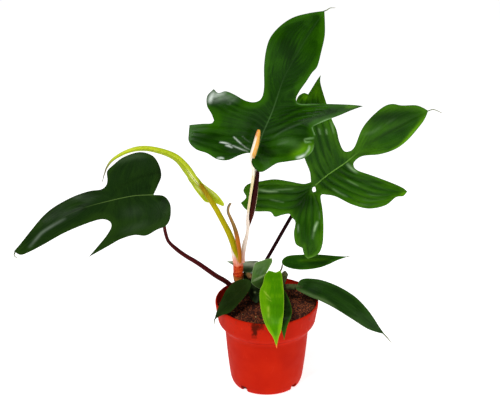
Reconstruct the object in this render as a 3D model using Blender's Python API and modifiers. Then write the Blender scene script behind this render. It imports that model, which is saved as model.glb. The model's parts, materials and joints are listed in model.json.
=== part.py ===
# A young lobed-leaf philodendron in a round red nursery pot, in metres with +Z up.
# The origin is the middle of the pot's underside, and the plant is seen from the -Y side.

import math

import bmesh
import bpy
import numpy as np
from mathutils import Vector
from mathutils.geometry import delaunay_2d_cdt

OBJECT_NAME = "potted_philodendron"

# Driving dimensions of the pot and its soil, with profiles as (radius, height)
POT_HEIGHT = 0.106
RIM_RADIUS = 0.060
RIM_ROUND = 0.0008
BAND = [(0.0596, 0.100), (0.0565, 0.083)]
SHOULDER = [(0.0557, 0.0795), (0.0533, 0.0740), (0.0505, 0.0695)]
BODY = [(0.0487, 0.066), (0.0462, 0.038), (0.0432, 0.012)]
HEEL = [(0.0417, 0.0052), (0.0401, 0.0016), (0.0365, 0.0)]
WALL = 0.0014
WALL_LIFT = 0.0010
FLOOR = 0.0020
FLOOR_RADIUS = 0.0375
TURN_STEPS = 48
NOTCH_COUNT = 4
NOTCH_ANGLE = math.radians(-40)
NOTCH_WIDTH = 0.009
NOTCH_HEIGHT = 0.0065
NOTCH_REACH = 0.0345
NOTCH_LENGTH = 0.012
SOIL_LEVEL = 0.099
SOIL_SLOPE = 0.055
SOIL_LUMPS = 0.0008
SOIL_RINGS = (0.018, 0.036)
STEM_HOLE_LENGTH = 0.1
STEM_HOLE_SIDES = 16
CLEARANCE = 0.0003

# Driving dimensions of the plant
BLADE_THICKNESS = 0.0008
LARGE_STEP = 0.0080
SMALL_STEP = 0.0056
STEM_STEP = 0.0070
EDGE_SPACING = 0.55
MERGE_DISTANCE = 1e-7
MAIN_STEM_RADIUS = 0.0043
COLLAR_RADIUS = 0.0058
SIDE_STEM_RADIUS = 0.0027

# The plant is drawn on an upright board through the pot's axis, as it looks from this eye.
# A drawn point is (x, z, depth): it slides along its line of sight until it lies that deep
# behind the board, or in front of it where the depth is negative.
EYE = Vector((-0.0196, -1.3402, 0.8195))


def place(x, z, depth):
    """The world position of a point drawn on the board."""
    return EYE + (Vector((x, 0.0, z)) - EYE) * (1 - depth / EYE.y)


def clear_scene():
    for old in list(bpy.data.objects):
        bpy.data.objects.remove(old)
    for group in list(bpy.data.collections):
        bpy.data.collections.remove(group)


def make_collection(name):
    group = bpy.data.collections.new(name)
    bpy.context.scene.collection.children.link(group)
    return group


def make_material(name, colour, roughness):
    material = bpy.data.materials.new(name)
    material.use_nodes = True
    shader = material.node_tree.nodes["Principled BSDF"]
    shader.inputs["Base Color"].default_value = (*colour, 1.0)
    shader.inputs["Roughness"].default_value = roughness
    shader.inputs["Metallic"].default_value = 0.0
    return material


def add_object(name, data, group, material):
    thing = bpy.data.objects.new(name, data)
    group.objects.link(thing)
    data.materials.append(material)
    return thing


# Smooth lines through drawn points


def curve_point(before, start, end, after, share):
    """A Catmull-Rom curve between start and end."""
    linear = (end - before) * share
    square = (2 * before - 5 * start + 4 * end - after) * share ** 2
    cube = (3 * start - before - 3 * end + after) * share ** 3
    return start + (linear + square + cube) * 0.5


def smooth_line(points, step):
    """Points about a step apart on the smooth open line through the given ones."""
    knots = [Vector(point) for point in points]
    knots = [2 * knots[0] - knots[1]] + knots + [2 * knots[-1] - knots[-2]]
    line = []
    for before, start, end, after in zip(knots, knots[1:], knots[2:], knots[3:]):
        pieces = max(1, round((end - start).length / step))
        for index in range(pieces):
            line.append(curve_point(before, start, end, after, index / pieces))
    line.append(knots[-2])
    return line


def closed_outline(strokes, step):
    """One closed outline from strokes that meet at sharp corners."""
    outline = []
    for index, stroke in enumerate(strokes):
        following = strokes[(index + 1) % len(strokes)][0]
        outline.extend(smooth_line(list(stroke) + [following], step)[:-1])
    return outline


def inside(point, outline):
    """True where a point lies within a closed outline."""
    within = False
    for a, b in zip(outline, outline[1:] + outline[:1]):
        if (a[1] > point[1]) != (b[1] > point[1]):
            if point[0] < a[0] + (point[1] - a[1]) / (b[1] - a[1]) * (b[0] - a[0]):
                within = not within
    return within


def distance_to_line(point, line):
    """The least distance from a point to a line of points."""
    nearest = math.inf
    for a, b in zip(line, line[1:]):
        run = b - a
        share = min(1, max(0, (point - a).dot(run) / run.length_squared))
        nearest = min(nearest, (point - a - run * share).length)
    return nearest


# Leaf blades


def bent_sheet(bends):
    """The depth of a thin sheet that bends smoothly through (x, z, depth) points."""
    spots = np.array([(x, z) for x, z, _ in bends])
    count = len(spots)

    def stiffness(gaps):
        return gaps ** 2 * np.log(gaps + MERGE_DISTANCE ** 2)

    system = np.zeros((count + 3, count + 3))
    system[:count, :count] = stiffness(np.linalg.norm(spots[:, None] - spots[None], axis=2))
    system[:count, count] = 1
    system[:count, count + 1:] = spots
    system[count:, :count] = system[:count, count:].T
    weights = np.linalg.solve(system, [depth for _, _, depth in bends] + [0, 0, 0])

    def depth_at(point):
        gaps = np.linalg.norm(spots - tuple(point), axis=1)
        flat = weights[count] + weights[count + 1:] @ np.array(tuple(point))
        return float(stiffness(gaps) @ weights[:count] + flat)

    return depth_at


def hexagonal_points(outline, step):
    """Evenly packed points inside an outline, clear of its edge."""
    low = [min(point[axis] for point in outline) for axis in (0, 1)]
    high = [max(point[axis] for point in outline) for axis in (0, 1)]
    edge = outline + outline[:1]
    rise = step * math.sqrt(0.75)
    points = []
    for row in range(int((high[1] - low[1]) / rise) + 1):
        for column in range(int((high[0] - low[0]) / step) + 2):
            point = Vector((low[0] + (column - row % 2 / 2) * step, low[1] + row * rise))
            if inside(point, outline) and distance_to_line(point, edge) > step * EDGE_SPACING:
                points.append(point)
    return points


def blade_mesh(leaf, step):
    """A blade's bent sheet, folded softly along its ribs and split into triangles."""
    outline = closed_outline(leaf["outline"], step)
    gaps = [closed_outline(gap, step / 2) for gap in leaf.get("gaps", [])]
    points = list(outline)
    edges = [(index, (index + 1) % len(outline)) for index in range(len(outline))]
    for gap in gaps:
        first = len(points)
        points.extend(gap)
        edges.extend((first + i, first + (i + 1) % len(gap)) for i in range(len(gap)))
    for point in hexagonal_points(outline, step):
        if all(distance_to_line(point, gap + gap[:1]) > step / 2 for gap in gaps):
            points.append(point)
    flat, _, faces = delaunay_2d_cdt(points, edges, [], 0, MERGE_DISTANCE)[:3]
    depth_at = bent_sheet(leaf["bends"])
    ribs = [smooth_line(rib, step) for rib in leaf["ribs"]]
    sheet = bmesh.new()
    corners = []
    for point in flat:
        crease = min(distance_to_line(point, rib) for rib in ribs)
        fold = leaf["fold"] * (math.hypot(crease, step) - step)
        corners.append(sheet.verts.new(place(point[0], point[1], depth_at(point) + fold)))
    for face in faces:
        middle = sum((flat[index] for index in face), Vector((0, 0))) / len(face)
        if inside(middle, outline) and not any(inside(middle, gap) for gap in gaps):
            sheet.faces.new([corners[index] for index in face])
    loose = [corner for corner in sheet.verts if not corner.link_faces]
    bmesh.ops.delete(sheet, geom=loose, context="VERTS")
    bmesh.ops.recalc_face_normals(sheet, faces=sheet.faces)
    mesh = bpy.data.meshes.new("blade")
    sheet.to_mesh(mesh)
    sheet.free()
    mesh.shade_smooth()
    return mesh


def make_blade(name, leaf, step, group, material):
    blade = add_object(name, blade_mesh(leaf, step), group, material)
    thickness = blade.modifiers.new("thickness", "SOLIDIFY")
    thickness.thickness = BLADE_THICKNESS
    thickness.offset = 0.0
    return blade


# Stems, petioles and sheaths


def make_stem(name, route, group, material):
    """A tapered round stem through drawn points of (x, z, depth, radius)."""
    placed = []
    for x, z, depth, radius in route:
        spot = place(x, z, depth)
        placed.append(Vector((spot.x, spot.y, spot.z, radius)))
    line = smooth_line(placed, STEM_STEP)
    curve = bpy.data.curves.new(name, "CURVE")
    curve.dimensions = "3D"
    curve.bevel_depth = 1.0
    curve.bevel_resolution = 2
    curve.use_fill_caps = True
    spline = curve.splines.new("POLY")
    spline.points.add(len(line) - 1)
    for knot, spot in zip(spline.points, line):
        knot.co = (spot[0], spot[1], spot[2], 1.0)
        knot.radius = spot[3]
    spline.use_smooth = True
    return add_object(name, curve, group, material)


# The pot and its soil


def turn(name, profile, group, material):
    """A profile of (radius, height), top to bottom on its outer side, turned about Z."""
    mesh = bpy.data.meshes.new(name)
    edges = [(index, index + 1) for index in range(len(profile) - 1)]
    mesh.from_pydata([(radius, 0, height) for radius, height in profile], edges, [])
    turned = add_object(name, mesh, group, material)
    screw = turned.modifiers.new("turn", "SCREW")
    screw.steps = TURN_STEPS
    screw.render_steps = TURN_STEPS
    screw.use_merge_vertices = True
    screw.merge_threshold = 0.0001
    screw.use_normal_calculate = False
    return turned


def pot_outside():
    """The pot's outer profile from the rim's top down to the middle of its foot."""
    rim = [(RIM_RADIUS - RIM_ROUND, POT_HEIGHT), (RIM_RADIUS, POT_HEIGHT - RIM_ROUND)]
    return rim + BAND + SHOULDER + BODY + HEEL + [(0.0, 0.0)]


def pot_inside():
    """The inner profile from the middle of the floor up to the rim's top."""
    wall = BAND[1:] + SHOULDER + BODY + HEEL[:1]
    inner = [(radius - WALL, height + WALL_LIFT) for radius, height in reversed(wall)]
    rim = [(RIM_RADIUS - RIM_ROUND - WALL / 2, POT_HEIGHT)]
    return [(0.0, FLOOR), (FLOOR_RADIUS, FLOOR)] + inner + rim


def make_pot(group, cutters, material):
    outside = pot_outside()
    pot = turn("pot", outside + pot_inside() + outside[:1], group, material)
    cut = pot.modifiers.new("drain notches", "BOOLEAN")
    cut.operand_type = "COLLECTION"
    cut.collection = cutters
    cut.solver = "EXACT"
    for index in range(NOTCH_COUNT):
        angle = NOTCH_ANGLE - index * 2 * math.pi / NOTCH_COUNT
        bpy.ops.mesh.primitive_cube_add(size=1.0)
        cutter = bpy.context.object
        cutter.name = f"notch_cutter_{index + 1}"
        cutter.scale = (NOTCH_LENGTH, NOTCH_WIDTH, 2 * NOTCH_HEIGHT)
        cutter.rotation_euler = (0, 0, angle)
        reach = NOTCH_REACH + NOTCH_LENGTH / 2
        cutter.location = (reach * math.cos(angle), reach * math.sin(angle), 0)
        cutter.hide_render = True
        cutter.display_type = "WIRE"
        for holder in list(cutter.users_collection):
            holder.objects.unlink(cutter)
        cutters.objects.link(cutter)
    return pot


def soil_height(x, y):
    """The soil stands higher at the front and right, and is a little lumpy."""
    lumps = math.sin(210 * x + 1.3) * math.cos(170 * y) + math.sin(95 * (x + y))
    return SOIL_LEVEL + SOIL_SLOPE * (x - y) + SOIL_LUMPS * lumps


def make_soil(group, cutters, stems, material):
    low = FLOOR + CLEARANCE
    side = [(radius - CLEARANCE, max(height, low)) for radius, height in pot_inside()[1:-1]]
    side.reverse()
    top = [(radius, SOIL_LEVEL) for radius in (0.0, *SOIL_RINGS, side[0][0])]
    profile = top + side + [(0.0, low)]
    soil = turn("potting_soil", profile, group, material)
    bpy.context.view_layer.update()
    solid = bpy.data.meshes.new_from_object(soil.evaluated_get(bpy.context.evaluated_depsgraph_get()))
    soil.modifiers.clear()
    for vertex in solid.vertices:
        if vertex.co.z > SOIL_LEVEL - 0.001:
            vertex.co.z = soil_height(vertex.co.x, vertex.co.y)
    soil.data = solid
    for index, (x, z, depth, radius) in enumerate(stems):
        foot = place(x, z, depth)
        bpy.ops.mesh.primitive_cylinder_add(
            vertices=STEM_HOLE_SIDES, radius=radius + 2 * CLEARANCE, depth=STEM_HOLE_LENGTH)
        cutter = bpy.context.object
        cutter.name = f"stem_hole_cutter_{index + 1}"
        cutter.location = (foot.x, foot.y, foot.z + STEM_HOLE_LENGTH / 2 - CLEARANCE)
        cutter.hide_render = True
        cutter.display_type = "WIRE"
        for holder in list(cutter.users_collection):
            holder.objects.unlink(cutter)
        cutters.objects.link(cutter)
    cut = soil.modifiers.new("stem holes", "BOOLEAN")
    cut.operand_type = "COLLECTION"
    cut.collection = cutters
    cut.solver = "EXACT"
    return soil


# The three large lobed leaves. An outline is a list of strokes that meet at sharp corners,
# a rib is a line that the blade folds along, and bends give its depth here and there.

TOP_LEAF = {
    "outline": [
        [(0.059, 0.451), (0.060, 0.437), (0.060, 0.423), (0.057, 0.407), (0.053, 0.390),
         (0.047, 0.382), (0.041, 0.372), (0.035, 0.363), (0.031, 0.355), (0.031, 0.350),
         (0.035, 0.347), (0.048, 0.347), (0.065, 0.347), (0.091, 0.346)],
        [(0.104, 0.3445), (0.091, 0.340), (0.079, 0.336), (0.066, 0.328), (0.053, 0.321)],
        [(0.049, 0.3175), (0.051, 0.309), (0.051, 0.300), (0.047, 0.292), (0.040, 0.284),
         (0.033, 0.280), (0.020, 0.279), (0.010, 0.277), (0.000, 0.271), (-0.007, 0.267),
         (-0.012, 0.270), (-0.016, 0.275), (-0.0165, 0.280)],
        [(-0.0125, 0.2865), (-0.021, 0.2895), (-0.031, 0.287), (-0.044, 0.281),
         (-0.056, 0.282), (-0.067, 0.289), (-0.0795, 0.294), (-0.087, 0.303),
         (-0.087, 0.313)],
        [(-0.086, 0.3225), (-0.072, 0.324), (-0.062, 0.3245)],
        [(-0.059, 0.328), (-0.062, 0.336), (-0.0665, 0.345), (-0.066, 0.356)],
        [(-0.059, 0.364), (-0.054, 0.3595), (-0.046, 0.3615), (-0.037, 0.358),
         (-0.025, 0.351), (-0.015, 0.349), (-0.0075, 0.353), (-0.0045, 0.365),
         (-0.0045, 0.390), (-0.002, 0.410), (0.003, 0.4235), (0.0135, 0.4355),
         (0.0265, 0.444), (0.0425, 0.4485)],
    ],
    "ribs": [
        [(-0.0125, 0.2865), (-0.0065, 0.310), (0.005, 0.339), (0.0155, 0.3725),
         (0.0235, 0.390), (0.040, 0.420), (0.059, 0.451)],
    ],
    "fold": -0.06,
    "bends": [
        (-0.0125, 0.2865, 0.005), (0.0, 0.327, 0.010), (0.0155, 0.3725, 0.015),
        (0.038, 0.415, 0.020), (0.059, 0.451, 0.034), (0.002, 0.420, 0.012),
        (-0.012, 0.350, 0.008), (-0.059, 0.362, 0.024), (-0.045, 0.345, 0.004),
        (-0.086, 0.308, -0.004), (-0.045, 0.283, -0.014), (-0.055, 0.310, -0.002),
        (0.104, 0.3445, -0.006), (0.060, 0.338, 0.004), (0.048, 0.300, -0.016),
        (0.020, 0.281, -0.012), (-0.008, 0.269, -0.009), (-0.016, 0.278, -0.006),
        (0.025, 0.310, 0.004),
    ],
}

RIGHT_LEAF = {
    "outline": [
        [(0.175, 0.339), (0.172, 0.330), (0.167, 0.3215), (0.154, 0.3045), (0.141, 0.294),
         (0.1245, 0.288), (0.106, 0.286), (0.098, 0.281), (0.0955, 0.2755), (0.100, 0.269),
         (0.117, 0.2625), (0.136, 0.255), (0.151, 0.248)],
        [(0.157, 0.243), (0.1525, 0.2375), (0.1445, 0.236), (0.133, 0.226), (0.1145, 0.222),
         (0.0955, 0.227), (0.0775, 0.2365), (0.067, 0.239), (0.060, 0.238), (0.062, 0.223),
         (0.064, 0.2035), (0.0645, 0.1905), (0.0625, 0.178), (0.0565, 0.165)],
        [(0.0465, 0.160), (0.0405, 0.169), (0.036, 0.174), (0.031, 0.179), (0.0295, 0.192),
         (0.032, 0.206)],
        [(0.028, 0.211), (0.0245, 0.2155), (0.016, 0.214), (0.0085, 0.212), (0.003, 0.218),
         (-0.012, 0.2185), (-0.0235, 0.2205)],
        [(-0.030, 0.229), (-0.024, 0.236), (-0.027, 0.2445), (-0.022, 0.252),
         (-0.0085, 0.2555), (0.008, 0.258), (0.0245, 0.2555), (0.040, 0.2525)],
        [(0.0485, 0.2545), (0.047, 0.267), (0.041, 0.283), (0.037, 0.300), (0.033, 0.320),
         (0.030, 0.340), (0.032, 0.354), (0.0385, 0.3595)],
        [(0.0435, 0.358), (0.049, 0.367), (0.053, 0.373)],
        [(0.0565, 0.378), (0.0565, 0.370), (0.0615, 0.3545), (0.070, 0.3295),
         (0.0755, 0.317), (0.079, 0.303), (0.084, 0.2925), (0.090, 0.2915), (0.096, 0.297),
         (0.103, 0.317), (0.112, 0.3305), (0.125, 0.3435), (0.1355, 0.3465),
         (0.152, 0.345), (0.166, 0.343)],
    ],
    "gaps": [[[(0.0505, 0.2490), (0.0540, 0.2490), (0.0540, 0.2425), (0.0500, 0.2415)]]],
    "ribs": [
        [(0.054, 0.251), (0.0675, 0.2635), (0.0865, 0.278), (0.107, 0.296), (0.135, 0.315),
         (0.160, 0.331), (0.175, 0.339)],
    ],
    "fold": -0.10,
    "bends": [
        (0.054, 0.251, 0.046), (0.0865, 0.278, 0.048), (0.130, 0.315, 0.050),
        (0.175, 0.339, 0.064), (0.120, 0.335, 0.044), (0.130, 0.290, 0.050),
        (0.0565, 0.378, 0.066), (0.055, 0.330, 0.050), (0.035, 0.345, 0.058),
        (0.060, 0.290, 0.048), (-0.030, 0.230, 0.030), (0.005, 0.238, 0.032),
        (0.010, 0.214, 0.026), (0.008, 0.258, 0.036), (0.0465, 0.160, 0.020),
        (0.047, 0.205, 0.029), (0.064, 0.195, 0.026), (0.157, 0.243, 0.038),
        (0.110, 0.245, 0.044), (0.1145, 0.222, 0.032), (0.110, 0.264, 0.042),
    ],
}

LEFT_LEAF = {
    "outline": [
        [(-0.290, 0.1685), (-0.280, 0.1805), (-0.269, 0.1945), (-0.2535, 0.213),
         (-0.2385, 0.2255), (-0.218, 0.237), (-0.200, 0.2435), (-0.187, 0.2455),
         (-0.181, 0.250), (-0.179, 0.257), (-0.179, 0.267), (-0.173, 0.274),
         (-0.160, 0.2845), (-0.142, 0.2905), (-0.128, 0.2865), (-0.121, 0.276),
         (-0.1185, 0.2625), (-0.123, 0.250)],
        [(-0.128, 0.239), (-0.1165, 0.2375), (-0.110, 0.229), (-0.109, 0.2175),
         (-0.111, 0.207), (-0.116, 0.2), (-0.125, 0.196), (-0.138, 0.1885),
         (-0.1515, 0.189), (-0.167, 0.184), (-0.182, 0.175)],
        [(-0.2045, 0.1615), (-0.1935, 0.175), (-0.183, 0.1885), (-0.177, 0.200),
         (-0.180, 0.207), (-0.190, 0.2085), (-0.210, 0.2015), (-0.2325, 0.191),
         (-0.255, 0.1775), (-0.271, 0.1685), (-0.2825, 0.164)],
    ],
    "ribs": [
        [(-0.128, 0.239), (-0.151, 0.2375), (-0.1795, 0.231), (-0.209, 0.222),
         (-0.239, 0.2065), (-0.262, 0.1885), (-0.288, 0.1665)],
    ],
    "fold": -0.12,
    "bends": [
        (-0.128, 0.239, -0.006), (-0.165, 0.235, 0.002), (-0.209, 0.222, 0.006),
        (-0.250, 0.198, -0.006), (-0.290, 0.167, -0.036), (-0.142, 0.2905, 0.050),
        (-0.1185, 0.2625, 0.020), (-0.173, 0.272, 0.042), (-0.150, 0.262, 0.026),
        (-0.109, 0.2175, -0.026), (-0.145, 0.189, -0.048), (-0.2045, 0.1615, -0.066),
        (-0.150, 0.212, -0.026), (-0.210, 0.2015, -0.012), (-0.220, 0.236, 0.014),
        (-0.182, 0.206, -0.022),
    ],
}

# The seven small plain leaves round the foot of the plant

RIM_LEAF = {
    "outline": [
        [(-0.0195, 0.131), (-0.0255, 0.133), (-0.036, 0.130), (-0.047, 0.1185),
         (-0.054, 0.1025), (-0.0585, 0.0905)],
        [(-0.0615, 0.079), (-0.055, 0.084), (-0.0425, 0.090), (-0.0315, 0.1025),
         (-0.022, 0.116), (-0.0185, 0.125)],
    ],
    "ribs": [[(-0.0195, 0.131), (-0.032, 0.116), (-0.048, 0.098), (-0.0615, 0.079)]],
    "fold": -0.15,
    "bends": [
        (-0.0195, 0.131, 0.0075), (-0.0425, 0.1255, 0.004), (-0.0545, 0.1025, -0.022),
        (-0.0615, 0.079, -0.044), (-0.0425, 0.090, -0.035), (-0.0265, 0.109, -0.016),
    ],
}

BRIGHT_LEAF = {
    "outline": [
        [(0.012, 0.1435), (0.0178, 0.141), (0.0192, 0.128), (0.020, 0.112),
         (0.0195, 0.0955), (0.017, 0.074), (0.0135, 0.058)],
        [(0.0118, 0.042), (0.008, 0.0555), (0.0025, 0.064), (-0.0035, 0.077),
         (-0.007, 0.0945), (-0.0085, 0.112), (-0.0055, 0.127), (-0.001, 0.138),
         (0.005, 0.1415)],
    ],
    "ribs": [[(0.012, 0.1435), (0.0075, 0.120), (0.007, 0.095), (0.009, 0.070),
              (0.0118, 0.042)]],
    "fold": -0.20,
    "bends": [
        (0.012, 0.1435, 0.011), (0.008, 0.128, -0.008), (0.019, 0.128, -0.007),
        (-0.0085, 0.112, -0.028), (0.007, 0.100, -0.042), (0.0195, 0.0955, -0.045),
        (0.008, 0.077, -0.0655), (-0.0035, 0.077, -0.0645), (0.017, 0.076, -0.0655),
        (0.011, 0.058, -0.0720), (0.0118, 0.042, -0.0745),
    ],
}

SHADED_LEAF = {
    "outline": [
        [(0.0165, 0.125), (0.021, 0.118), (0.0245, 0.103), (0.026, 0.089),
         (0.0245, 0.076), (0.022, 0.062)],
        [(0.020, 0.0515), (0.0175, 0.064), (0.0135, 0.080), (0.0115, 0.098),
         (0.013, 0.115)],
    ],
    "ribs": [[(0.0165, 0.125), (0.0185, 0.100), (0.0195, 0.075), (0.020, 0.0515)]],
    "fold": -0.15,
    "bends": [
        (0.0165, 0.125, 0.007), (0.019, 0.112, -0.012), (0.0185, 0.098, -0.034),
        (0.0255, 0.087, -0.052), (0.0125, 0.087, -0.050), (0.0235, 0.076, -0.0610),
        (0.0150, 0.076, -0.0610), (0.0200, 0.065, -0.0655), (0.020, 0.0515, -0.0680),
    ],
}

UPTURNED_LEAF = {
    "outline": [
        [(0.002, 0.121), (-0.004, 0.119), (-0.010, 0.121), (-0.015, 0.1245)],
        [(-0.0182, 0.1285), (-0.0155, 0.137), (-0.0135, 0.147), (-0.0105, 0.154),
         (-0.004, 0.1575), (0.001, 0.159)],
        [(0.0055, 0.160), (0.006, 0.155), (0.002, 0.146), (-0.001, 0.139),
         (0.003, 0.133), (0.005, 0.126)],
    ],
    "ribs": [[(-0.018, 0.129), (-0.009, 0.133), (-0.002, 0.140), (0.002, 0.147),
              (0.0055, 0.160)]],
    "fold": 0.20,
    "bends": [
        (0.002, 0.121, 0.010), (-0.018, 0.129, 0.006), (-0.012, 0.152, 0.014),
        (0.0055, 0.160, 0.016), (-0.006, 0.134, 0.004),
    ],
}

HIDDEN_LEAF = {
    "outline": [
        [(-0.0095, 0.1505), (-0.012, 0.1555), (-0.020, 0.1562), (-0.032, 0.1565)],
        [(-0.046, 0.156), (-0.038, 0.1505), (-0.028, 0.1465), (-0.017, 0.1455)],
    ],
    "ribs": [[(-0.0095, 0.1505), (-0.027, 0.151), (-0.046, 0.156)]],
    "fold": -0.20,
    "bends": [
        (-0.0095, 0.1505, 0.040), (-0.028, 0.1465, 0.036), (-0.026, 0.156, 0.052),
        (-0.046, 0.156, 0.052),
    ],
}

LEVEL_LEAF = {
    "outline": [
        [(0.017, 0.153), (0.0225, 0.160), (0.034, 0.1635), (0.0585, 0.1645),
         (0.078, 0.1628)],
        [(0.0925, 0.1617), (0.0805, 0.157), (0.068, 0.1505), (0.0525, 0.1458),
         (0.0365, 0.1445), (0.0235, 0.1475)],
    ],
    "ribs": [[(0.017, 0.153), (0.042, 0.155), (0.068, 0.158), (0.0925, 0.1617)]],
    "fold": -0.30,
    "bends": [
        (0.017, 0.153, 0.034), (0.050, 0.1455, 0.032), (0.050, 0.1645, 0.058),
        (0.050, 0.156, 0.046), (0.0925, 0.1617, 0.050),
    ],
}

LONG_LEAF = {
    "outline": [
        [(0.036, 0.126), (0.040, 0.1325), (0.050, 0.1335), (0.0635, 0.131), (0.083, 0.1233),
         (0.102, 0.1105), (0.1155, 0.096), (0.125, 0.0825), (0.1325, 0.070)],
        [(0.139, 0.060), (0.130, 0.0625), (0.118, 0.0675), (0.1025, 0.0785),
         (0.084, 0.0915), (0.0598, 0.1065), (0.0485, 0.1125), (0.040, 0.118)],
    ],
    "ribs": [[(0.036, 0.126), (0.0485, 0.1185), (0.069, 0.105), (0.0885, 0.0915),
              (0.1085, 0.078), (0.1255, 0.068), (0.139, 0.060)]],
    "fold": -0.15,
    "bends": [
        (0.036, 0.126, 0.006), (0.050, 0.1335, 0.018), (0.075, 0.1265, 0.016),
        (0.102, 0.1105, 0.010), (0.125, 0.0825, -0.004), (0.139, 0.060, -0.014),
        (0.118, 0.0675, -0.016), (0.094, 0.084, -0.013), (0.0598, 0.1065, -0.006),
        (0.069, 0.106, -0.002), (0.042, 0.117, 0.002),
    ],
}

# Stem routes are drawn points of (x, z, depth, radius), from the root end to the tip

MAIN_STEM = [
    (-0.033, 0.070, 0.022, MAIN_STEM_RADIUS), (-0.033, 0.105, 0.022, MAIN_STEM_RADIUS),
    (-0.033, 0.130, 0.022, MAIN_STEM_RADIUS), (-0.033, 0.140, 0.022, 0.0054),
    (-0.033, 0.155, 0.022, COLLAR_RADIUS),
]

SIDE_STEM = [
    (0.0137, 0.074, 0.012, SIDE_STEM_RADIUS), (0.0137, 0.106, 0.012, SIDE_STEM_RADIUS),
    (0.0165, 0.122, 0.0135, SIDE_STEM_RADIUS), (0.0215, 0.143, 0.016, 0.0022),
]

TOP_PETIOLE = [
    (-0.0310, 0.1568, 0.0245, 0.0018), (-0.0290, 0.168, 0.0232, 0.0019),
    (-0.0242, 0.185, 0.0195, 0.0019), (-0.0196, 0.206, 0.0155, 0.0019),
    (-0.0165, 0.225, 0.0130, 0.0022), (-0.0128, 0.249, 0.0085, 0.0023),
    (-0.0120, 0.267, 0.0050, 0.0019), (-0.0125, 0.2855, 0.0061, 0.0013),
]

TALL_SHEATH = [
    (-0.0275, 0.1542, 0.0190, 0.0022), (-0.0264, 0.168, 0.0178, 0.0024),
    (-0.0243, 0.185, 0.0140, 0.0023), (-0.0220, 0.206, 0.0100, 0.0018),
    (-0.0202, 0.225, 0.0075, 0.0012), (-0.0165, 0.249, 0.0020, 0.0021),
    (-0.0180, 0.262, -0.0012, 0.0021), (-0.0196, 0.276, -0.0022, 0.0016),
    (-0.0185, 0.290, -0.0030, 0.0027), (-0.0140, 0.305, -0.0015, 0.0023),
    (-0.0105, 0.317, -0.0010, 0.0010),
]

NEW_PETIOLE = [
    (-0.0365, 0.1552, 0.0205, 0.0023), (-0.0374, 0.168, 0.0183, 0.0025),
    (-0.0402, 0.181, 0.0155, 0.0023), (-0.0452, 0.1945, 0.0120, 0.0020),
    (-0.0510, 0.2065, 0.0080, 0.0019), (-0.0560, 0.2195, 0.0040, 0.0018),
    (-0.0625, 0.232, 0.0000, 0.0016), (-0.0690, 0.243, -0.0030, 0.0012),
    (-0.0765, 0.252, -0.0042, 0.0007),
]

CURLED_SHEATH = [
    (-0.0322, 0.1534, 0.0172, 0.0015), (-0.0328, 0.168, 0.0126, 0.0019),
    (-0.0332, 0.181, 0.0088, 0.0019), (-0.0350, 0.193, 0.0060, 0.0015),
    (-0.0376, 0.2016, 0.0040, 0.0012), (-0.0423, 0.209, 0.0020, 0.0010),
    (-0.0448, 0.216, 0.0010, 0.0008), (-0.0442, 0.2235, 0.0010, 0.0007),
    (-0.0413, 0.228, 0.0010, 0.0006),
]

LEFT_PETIOLE = [
    (-0.0383, 0.1213, 0.0202, 0.0019), (-0.048, 0.130, 0.0180, 0.0020),
    (-0.060, 0.138, 0.0150, 0.0020), (-0.079, 0.153, 0.0100, 0.0020),
    (-0.0937, 0.163, 0.0060, 0.0020), (-0.104, 0.1715, 0.0035, 0.0020),
    (-0.1125, 0.181, 0.0010, 0.0020), (-0.1158, 0.192, -0.0010, 0.0020),
    (-0.1175, 0.203, -0.0020, 0.0019), (-0.1215, 0.221, -0.0030, 0.0018),
    (-0.1278, 0.2378, -0.0055, 0.0012),
]

RIGHT_PETIOLE = [
    (-0.0276, 0.1115, 0.0236, 0.0015), (-0.0175, 0.1270, 0.0285, 0.0016),
    (0.0005, 0.160, 0.0370, 0.0015), (0.0265, 0.211, 0.0460, 0.0015),
    (0.0400, 0.233, 0.0490, 0.0015), (0.0536, 0.2503, 0.0479, 0.0011),
]

RIM_PETIOLE = [
    (-0.0283, 0.1255, 0.0195, 0.0011), (-0.0235, 0.1290, 0.0150, 0.0011),
    (-0.0200, 0.1300, 0.0079, 0.0008),
]

BRIGHT_PETIOLE = [
    (0.0127, 0.119, 0.0105, 0.0010), (0.0120, 0.130, 0.0110, 0.0010),
    (0.0120, 0.1418, 0.0105, 0.0008),
]

SHADED_PETIOLE = [
    (0.0182, 0.1155, 0.0100, 0.0010), (0.0178, 0.1205, 0.0075, 0.0010),
    (0.0166, 0.1240, 0.0076, 0.0007),
]

UPTURNED_PETIOLE = [
    (0.0108, 0.112, 0.0130, 0.0010), (0.0060, 0.117, 0.0135, 0.0010),
    (0.0026, 0.1204, 0.0120, 0.0009),
]

HIDDEN_PETIOLE = [
    (-0.0307, 0.1240, 0.0267, 0.0010), (-0.0225, 0.134, 0.0345, 0.0010),
    (-0.0145, 0.143, 0.0395, 0.0010), (-0.0102, 0.1492, 0.0412, 0.0009),
]

LEVEL_PETIOLE = [
    (0.0181, 0.133, 0.0182, 0.0009), (0.0155, 0.1415, 0.0210, 0.0009),
    (0.0170, 0.147, 0.0250, 0.0009), (0.0176, 0.1512, 0.0316, 0.0008),
]

LONG_PETIOLE = [
    (0.0205, 0.1245, 0.0110, 0.0023), (0.0280, 0.1265, 0.0085, 0.0024),
    (0.0354, 0.1250, 0.0060, 0.0020),
]

# The youngest leaf is still rolled up. Its sections are (x, z, depth, half width, half depth),
# from its tip to its open foot, and its two ears are how far the foot reaches past the last.

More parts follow.
